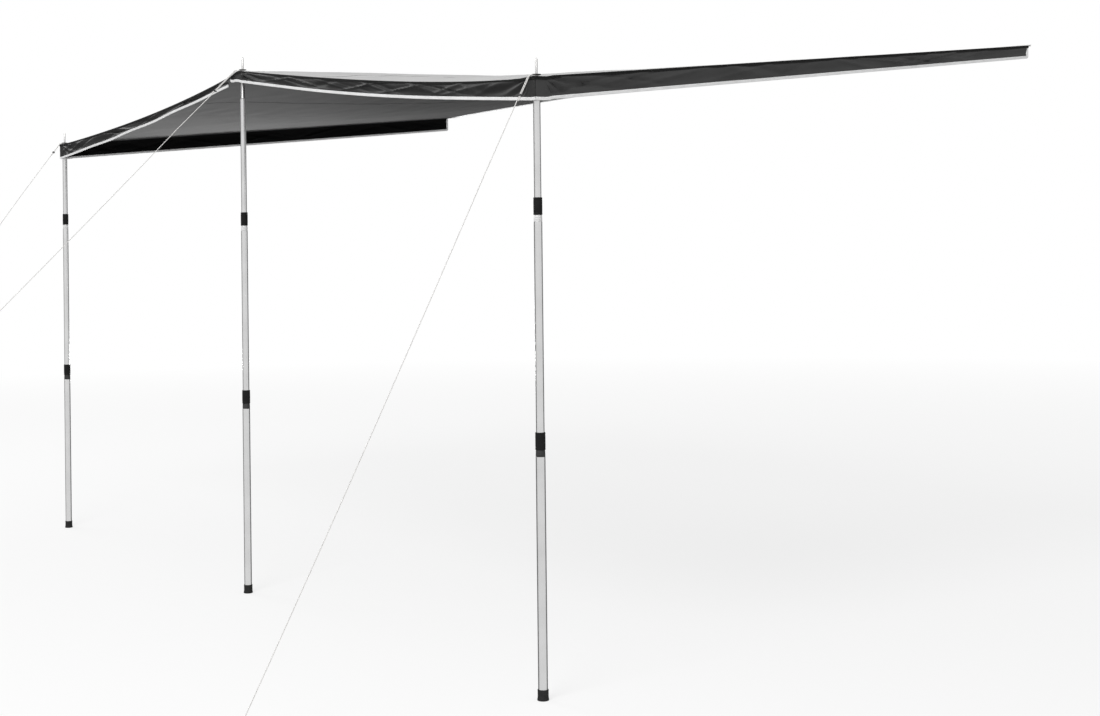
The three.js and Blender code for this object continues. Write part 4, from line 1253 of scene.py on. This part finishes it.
def make_eyelet(name, x):
    """A barrel with a rolled flange above the sheet and a flat ring below it."""
    near, far = CAD_CLOTH / 2 + SEAT_GAP, FLANGE_FACE
    barrel = EYELET_BORE + EYELET_WALL
    profile = [
        *soft(EYELET_BORE, far, "eyelet_lip"), *soft(EYELET_RIM, far, "eyelet_roll"),
        *soft(EYELET_RIM, near, "eyelet_rim"), (barrel, near), (barrel, -near),
        *soft(EYELET_RIM, -near, "ring_seat"), *soft(EYELET_RIM, -far, "ring_rim"),
        *soft(barrel, -far, "barrel_step"), *soft(EYELET_BORE, -far, "barrel_roll"),
    ]
    ring = lathe(f"{name}_eyelet_ring", profile, 64, ZINC, (x, -CANOPY_DEPTH, EYELET_HEIGHT[name]))
    settle(ring, "canopy", f"{name}_eyelet")


def make_washer(name, x):
    """A moulded disc on the spike that keeps the line's loop down."""
    low = EYELET_HEIGHT[name] + FLANGE_FACE + 2 * LINE_RADIUS + 2 * SEAT_GAP
    profile = [
        *soft(WASHER_BORE, 0, "washer_foot"), *soft(WASHER_RADIUS, 0, "washer_rim"),
        *soft(WASHER_BORE, 0, "washer_dish"), *soft(WASHER_BORE, WASHER_THICKNESS, "washer_hub"),
    ]
    disc = lathe(f"{name}_washer_disc", profile, 56, BLACK, (x, -CANOPY_DEPTH, low))
    settle(disc, "canopy", f"{name}_washer")


def cap_foot_height(name):
    return EYELET_HEIGHT[name] - FLANGE_FACE - SEAT_GAP - CAP_DOME - CAP_RIM


def make_spike(name, x):
    """The plug in the tube, its shank, the domed cap under the eyelet and the pin."""
    cap_foot = cap_foot_height(name)
    cap_top = cap_foot + CAP_RIM + CAP_DOME
    tube_top = cap_foot - NECK_LENGTH[name]
    plug = UPPER_TUBE - TUBE_WALL - SEAT_GAP
    radius = np.linspace(UPPER_TUBE - CAP_EDGE, SPIKE_RADIUS, 9)
    dome = cap_top - CAP_DOME * (radius / UPPER_TUBE) ** 2
    tip = EYELET_HEIGHT[name] + SPIKE_LENGTH
    turn = np.linspace(0, math.pi / 2, 6)[:-1]
    nose = zip(SPIKE_TIP_RADIUS * np.cos(turn), tip - SPIKE_TIP_RADIUS * (1 - np.sin(turn)))
    profile = [
        (0, tube_top - SPIKE_PLUG), *soft(plug, tube_top - SPIKE_PLUG, "plug_end"), (plug, tube_top),
        *soft(UPPER_TUBE, tube_top, "tube_seat"),
        *soft(NECK_RADIUS, tube_top + NECK_SHOULDER, "shank_foot"),
        *soft(NECK_RADIUS, cap_foot, "shank_top"), *soft(UPPER_TUBE, cap_foot, "cap_foot"),
        (UPPER_TUBE, cap_foot + CAP_RIM - CAP_EDGE), *zip(radius, dome), (SPIKE_RADIUS, tip - SPIKE_TIP),
        *nose, (0, tip),
    ]
    pin = lathe(f"{name}_spike_pin", profile, 48, ZINC, (x, -CANOPY_DEPTH, 0))
    settle(pin, f"{name}_top_section", f"{name}_spike")


def make_tube(name, part, body, x, radius, low, high):
    """A drawn tube with softly rolled ends."""
    inside = radius - TUBE_WALL
    inner, outer = inside + TUBE_LIP, radius - TUBE_LIP
    foot, head = low + TUBE_LIP, high - TUBE_LIP
    profile = [
        (inside, foot), (inner, low), (outer, low), (radius, foot),
        (radius, head), (outer, high), (inner, high), (inside, head),
    ]
    made = lathe(f"{name}_{part}_pipe", profile, 72, STEEL, (x, -CANOPY_DEPTH, 0))
    settle(made, f"{name}_{body}_section", f"{name}_{part}_tube")


def make_lock_body(name, part, body, x, outer, inner, tube_top):
    """The clamp body on a tube's end: a spigot, a neck with two rings, and the clamp's fingers."""
    bore, sleeve = inner + SEAT_GAP, outer - TUBE_WALL - SEAT_GAP
    low = tube_top + SEAT_GAP
    neck = low + NECK_HEIGHT
    ringed = []
    for share in NECK_SHARES:
        ring = NECK_RING if share in NECK_RING_SHARES else 0
        ringed.append((outer - NECK_TAPER * share + ring, low + NECK_HEIGHT * share))
    profile = [
        (bore, low - SPIGOT_LENGTH), *soft(sleeve, low - SPIGOT_LENGTH, "spigot_end"), (sleeve, low),
        *soft(outer, low, "neck_foot"), *ringed, *soft(outer - NECK_TAPER, neck, "neck_top"),
        (sleeve, neck), (sleeve, neck + FINGER_LENGTH), (bore, neck + FINGER_LENGTH),
    ]
    material = PALE if part == "upper" else GREY
    made = lathe(f"{name}_{part}_clamp", profile, 64, material, (x, -CANOPY_DEPTH, 0))
    settle(made, f"{name}_{body}_section", f"{name}_{part}_lock_body")


def make_lock_collar(name, part, x, outer, inner, tube_top):
    """The collar that turns on the clamp, with grip ribs between two plain bands."""
    bore, mouth = outer - TUBE_WALL, inner + SEAT_GAP
    outside = bore + COLLAR_WALL
    full = outside + COLLAR_RIB
    low = tube_top + NECK_HEIGHT + 2 * SEAT_GAP
    high = low + COLLAR_HEIGHT
    ribs_low, ribs_high = low + COLLAR_BAND, high - COLLAR_BAND
    profile = [
        *soft(bore, low, "collar_foot"), *soft(full, low, "band_foot"), *soft(full, ribs_low, "band_top"),
        *soft(outside, ribs_low, "rib_foot"), *soft(outside, ribs_high, "rib_top"),
        *soft(full, ribs_high, "upper_band"), *soft(full, high, "collar_rim"), *soft(mouth, high, "mouth"),
        (mouth, high - COLLAR_LIP), (bore, high - COLLAR_LIP),
    ]
    made = lathe(f"{name}_{part}_grip", profile, COLLAR_RIBS * 8, BLACK)
    for vertex in made.data.vertices:
        co = vertex.co
        radius = math.hypot(co.x, co.y)
        inward = min(co.z - ribs_low, ribs_high - co.z)
        if inward > RIB_START and abs(radius - outside) < NEAR:
            share = RIB_FULL_SHARE if inward > RIB_FULL else RIB_START_SHARE
            wave = 0.5 + 0.5 * math.cos(COLLAR_RIBS * math.atan2(co.y, co.x))
            grown = 1 + COLLAR_RIB * share * wave**0.6 / radius
            co.x, co.y = co.x * grown, co.y * grown
        co.x, co.y = co.x + x, co.y - CANOPY_DEPTH
    made.data.update()
    made.data.set_sharp_from_angle(angle=math.radians(50))
    settle(made, f"{name}_{part}_collar", f"{name}_{part}_lock_collar")


def make_foot(name, x):
    """A rubber cup with rings round it and a grooved sole."""
    inside = LOWER_TUBE + SEAT_GAP
    outside = inside + FOOT_WALL
    profile = [(0, 0)]
    for radius in SOLE_GROOVES:
        profile += soft(radius, 0, "groove")
    profile += soft(outside + FOOT_FLARE, 0, "foot_rim") + soft(outside, 0, "foot_waist")
    for height in FOOT_RINGS:
        profile += soft(outside, height, "foot_ring")
    profile += soft(outside, FOOT_HEIGHT, "foot_bead") + soft(inside, FOOT_HEIGHT, "mouth")
    profile += [(inside, FOOT_FLOOR), (0, FOOT_FLOOR)]
    made = lathe(f"{name}_foot_cup", profile, 64, RUBBER, (x, -CANOPY_DEPTH, GROUND))
    settle(made, f"{name}_lower_section", f"{name}_foot")


def make_pole(name, x):
    cap_foot = cap_foot_height(name)
    upper_top = cap_foot - NECK_LENGTH[name] - SEAT_GAP
    below_lock = COLLAR_HEIGHT + NECK_HEIGHT + 2 * SEAT_GAP
    middle_top = GROUND + UPPER_LOCK_TOP[name] - below_lock
    lower_top = GROUND + LOWER_LOCK_TOP - below_lock
    make_spike(name, x)
    make_tube(name, "upper", "top", x, UPPER_TUBE, cap_foot - SEAT_GAP - UPPER_TUBE_REACH, upper_top)
    make_tube(name, "middle", "middle", x, MIDDLE_TUBE, middle_top - MIDDLE_TUBE_LENGTH, middle_top)
    make_tube(name, "lower", "lower", x, LOWER_TUBE, GROUND + FOOT_FLOOR + SEAT_GAP, lower_top)
    make_lock_body(name, "upper", "middle", x, MIDDLE_TUBE, UPPER_TUBE, middle_top)
    make_lock_body(name, "lower", "lower", x, LOWER_TUBE, MIDDLE_TUBE, lower_top)
    make_lock_collar(name, "upper", x, MIDDLE_TUBE, UPPER_TUBE, middle_top)
    make_lock_collar(name, "lower", x, LOWER_TUBE, MIDDLE_TUBE, lower_top)
    make_foot(name, x)


for pole_name, pole_x in POLE_X.items():
    make_eyelet(pole_name, pole_x)
    make_washer(pole_name, pole_x)
    make_pole(pole_name, pole_x)


# Sliders

SLIDER_ENDS = 4.8 * MM
SLIDER_SIDES = 3.2 * MM
SLIDER_HOLE = 2.3 * MM
SLIDER_BEVEL = 0.9 * MM
WAIST_WIDTH_SHARE = 0.86
WAIST_PLACE_SHARE = 0.4


def holed_plate(name, outline, holes, thickness, material):
    """A plate with holes, as a filled outline pulled up and softly bevelled."""
    shape = bmesh.new()
    for loop in [outline, *holes]:
        corners = [shape.verts.new((u, v, 0)) for u, v in loop]
        for i, corner in enumerate(corners):
            shape.edges.new((corners[i - 1], corner))
    bmesh.ops.triangle_fill(shape, use_beauty=True, use_dissolve=False, edges=shape.edges[:])
    pulled = bmesh.ops.extrude_face_region(shape, geom=shape.faces[:])
    moved = [item for item in pulled["geom"] if isinstance(item, bmesh.types.BMVert)]
    bmesh.ops.translate(shape, verts=moved, vec=(0, 0, thickness))
    bmesh.ops.recalc_face_normals(shape, faces=shape.faces[:])
    mesh = bpy.data.meshes.new(name)
    shape.to_mesh(mesh)
    shape.free()
    mesh.materials.append(material)
    mesh.polygons.foreach_set("use_smooth", np.ones(len(mesh.polygons), bool))
    mesh.set_sharp_from_angle(angle=math.radians(60))
    made = link_object(name, mesh)
    bevel = made.modifiers.new("soft_edges", "BEVEL")
    bevel.width = SLIDER_BEVEL
    bevel.segments = 3
    bevel.limit_method = "ANGLE"
    bevel.angle_limit = math.radians(50)
    return made


def make_slider(name):
    """A flat slat with two holes and soft edges, across both strands of a line."""
    line = line_frame(name)
    half = SLIDER_HOLE + SLIDER_SIDES
    straight = LOOP_RADIUS + SLIDER_HOLE + SLIDER_ENDS - half
    angle = np.linspace(-math.pi / 2, math.pi / 2, 15)
    right = [(straight + half * math.cos(a), half * math.sin(a)) for a in angle]
    waist, inner = half * WAIST_WIDTH_SHARE, straight * WAIST_PLACE_SHARE
    outline = right + [(inner, waist), (-inner, waist)] + [(-u, -v) for u, v in right]
    outline += [(-inner, -waist), (inner, -waist)]
    turn = np.linspace(0, TURN, 24, endpoint=False)
    holes = [
        [(middle + SLIDER_HOLE * math.cos(a), SLIDER_HOLE * math.sin(a)) for a in turn]
        for middle in (LOOP_RADIUS, -LOOP_RADIUS)
    ]
    made = holed_plate(f"{name}_slider_slat", outline, holes, SLIDER_THICKNESS, GREY)
    across = np.cross(line.down, line.aside)
    place = edge_bend(line, 0)[-1] + line.down * (SLIDER_FROM_EDGE[name] - SLIDER_THICKNESS / 2)
    turned = Matrix((line.aside, across, line.down)).transposed().to_4x4()
    made.data.transform(Matrix.Translation(place) @ turned)
    settle(made, f"{name}_slider", f"{name}_line_slider")


for pole_name in POLE_X:
    make_slider(pole_name)


# Studio

FLOOR_HALF = 90
FLOOR_GLOW_SHARE = 0.75  # of what is seen of the floor, near the object, that is its own light
FLOOR_FADE = (4, 14)  # how far away that share starts to grow, and from where it is all of it
# Which way two grey screens stand in what metal mirrors, and their shade by the direction's share of it
SCREENS_AHEAD = (-0.815, 0.579, 0.0)
SCREEN_STOPS = ((0, 1), (0.05, 1), (0.3, 0.15), (0.92, 0.15), (0.98, 1), (1, 1))
LAMPS = (
    ("key_lamp", (4.5, -7.5, 5.5), (0, -1.2, -1), 4.0, 540),
    ("fill_lamp", (-7.0, -4.0, 3.0), (0, -1.2, -1), 4.0, 160),
    ("low_lamp", (-4.2, -0.7, -1.6), (-4.2, -0.7, 0), 1.8, 190),
)


def make_floor():
    signs = ((-1, -1), (1, -1), (1, 1), (-1, 1))
    corners = [(FLOOR_HALF * sx, FLOOR_HALF * sy, GROUND) for sx, sy in signs]
    floor = new_object("floor", corners, [(0, 1, 2, 3)], [floor_material()])
    floor.visible_glossy = False


def make_world():
    """Plain light, and white around for what is seen, with two grey screens in what metal mirrors."""
    world = bpy.data.worlds.new("studio")
    bpy.context.scene.world = world
    graph = Graph(world)
    plain = graph.tree.nodes["Background"]
    graph.fill(plain, {"Color": grey(1), "Strength": 0.6})
    towards = graph.calc("DOT_PRODUCT", graph.places["Generated"], SCREENS_AHEAD, kind="VectorMath")
    screens = graph.ramp(towards, [(place, grey(shade)) for place, shade in SCREEN_STOPS])
    mirrored = graph.add("LightPath").outputs["Is Glossy Ray"]
    tint = graph.add("Mix", p_data_type="RGBA", A=grey(1), B=screens, Factor=mirrored)
    shown = graph.add("Background", Color=tint.outputs["Result"], Strength=1)
    graph.mix_out(graph.seen(), plain.outputs["Background"], shown.outputs["Background"], "World Output")


def add_lamp(name, place, target, size, power):
    data = bpy.data.lights.new(name, "AREA")
    data.shape = "DISK"
    data.size = size
    data.energy = power
    lamp = link_object(name, data)
    lamp.location = place
    lamp.rotation_euler = (Vector(target) - Vector(place)).to_track_quat("-Z", "Y").to_euler()


bpy.context.scene.view_settings.view_transform = "Standard"
make_floor()
make_world()
for lamp in LAMPS:
    add_lamp(*lamp)
bpy.data.objects["low_lamp"].visible_camera = False


# Node materials of what stays as the model has it

SLOT_MATERIAL = {
    "tube_steel": STEEL, "plated_steel": ZINC, "lock_black": BLACK, "lock_grey": GREY,
    "foot_rubber": RUBBER, "line_cord": CORD, "slider_plastic": GREY, "roof_cloth": OUTER,
    "valance_cloth": FRONT_CLOTH, "hem_binding": FRONT_TAPE, "keder_tape": KEDER_TAPE,
}


def dress_nodes():
    slot_of = {row["node"]: row["material_slot"] for row in frame["record"]["subparts"]}
    for name, piece in frame["nodes"].items():
        piece.data.materials.clear()
        piece.data.materials.append(SLOT_MATERIAL[slot_of[name]])


dress_nodes()
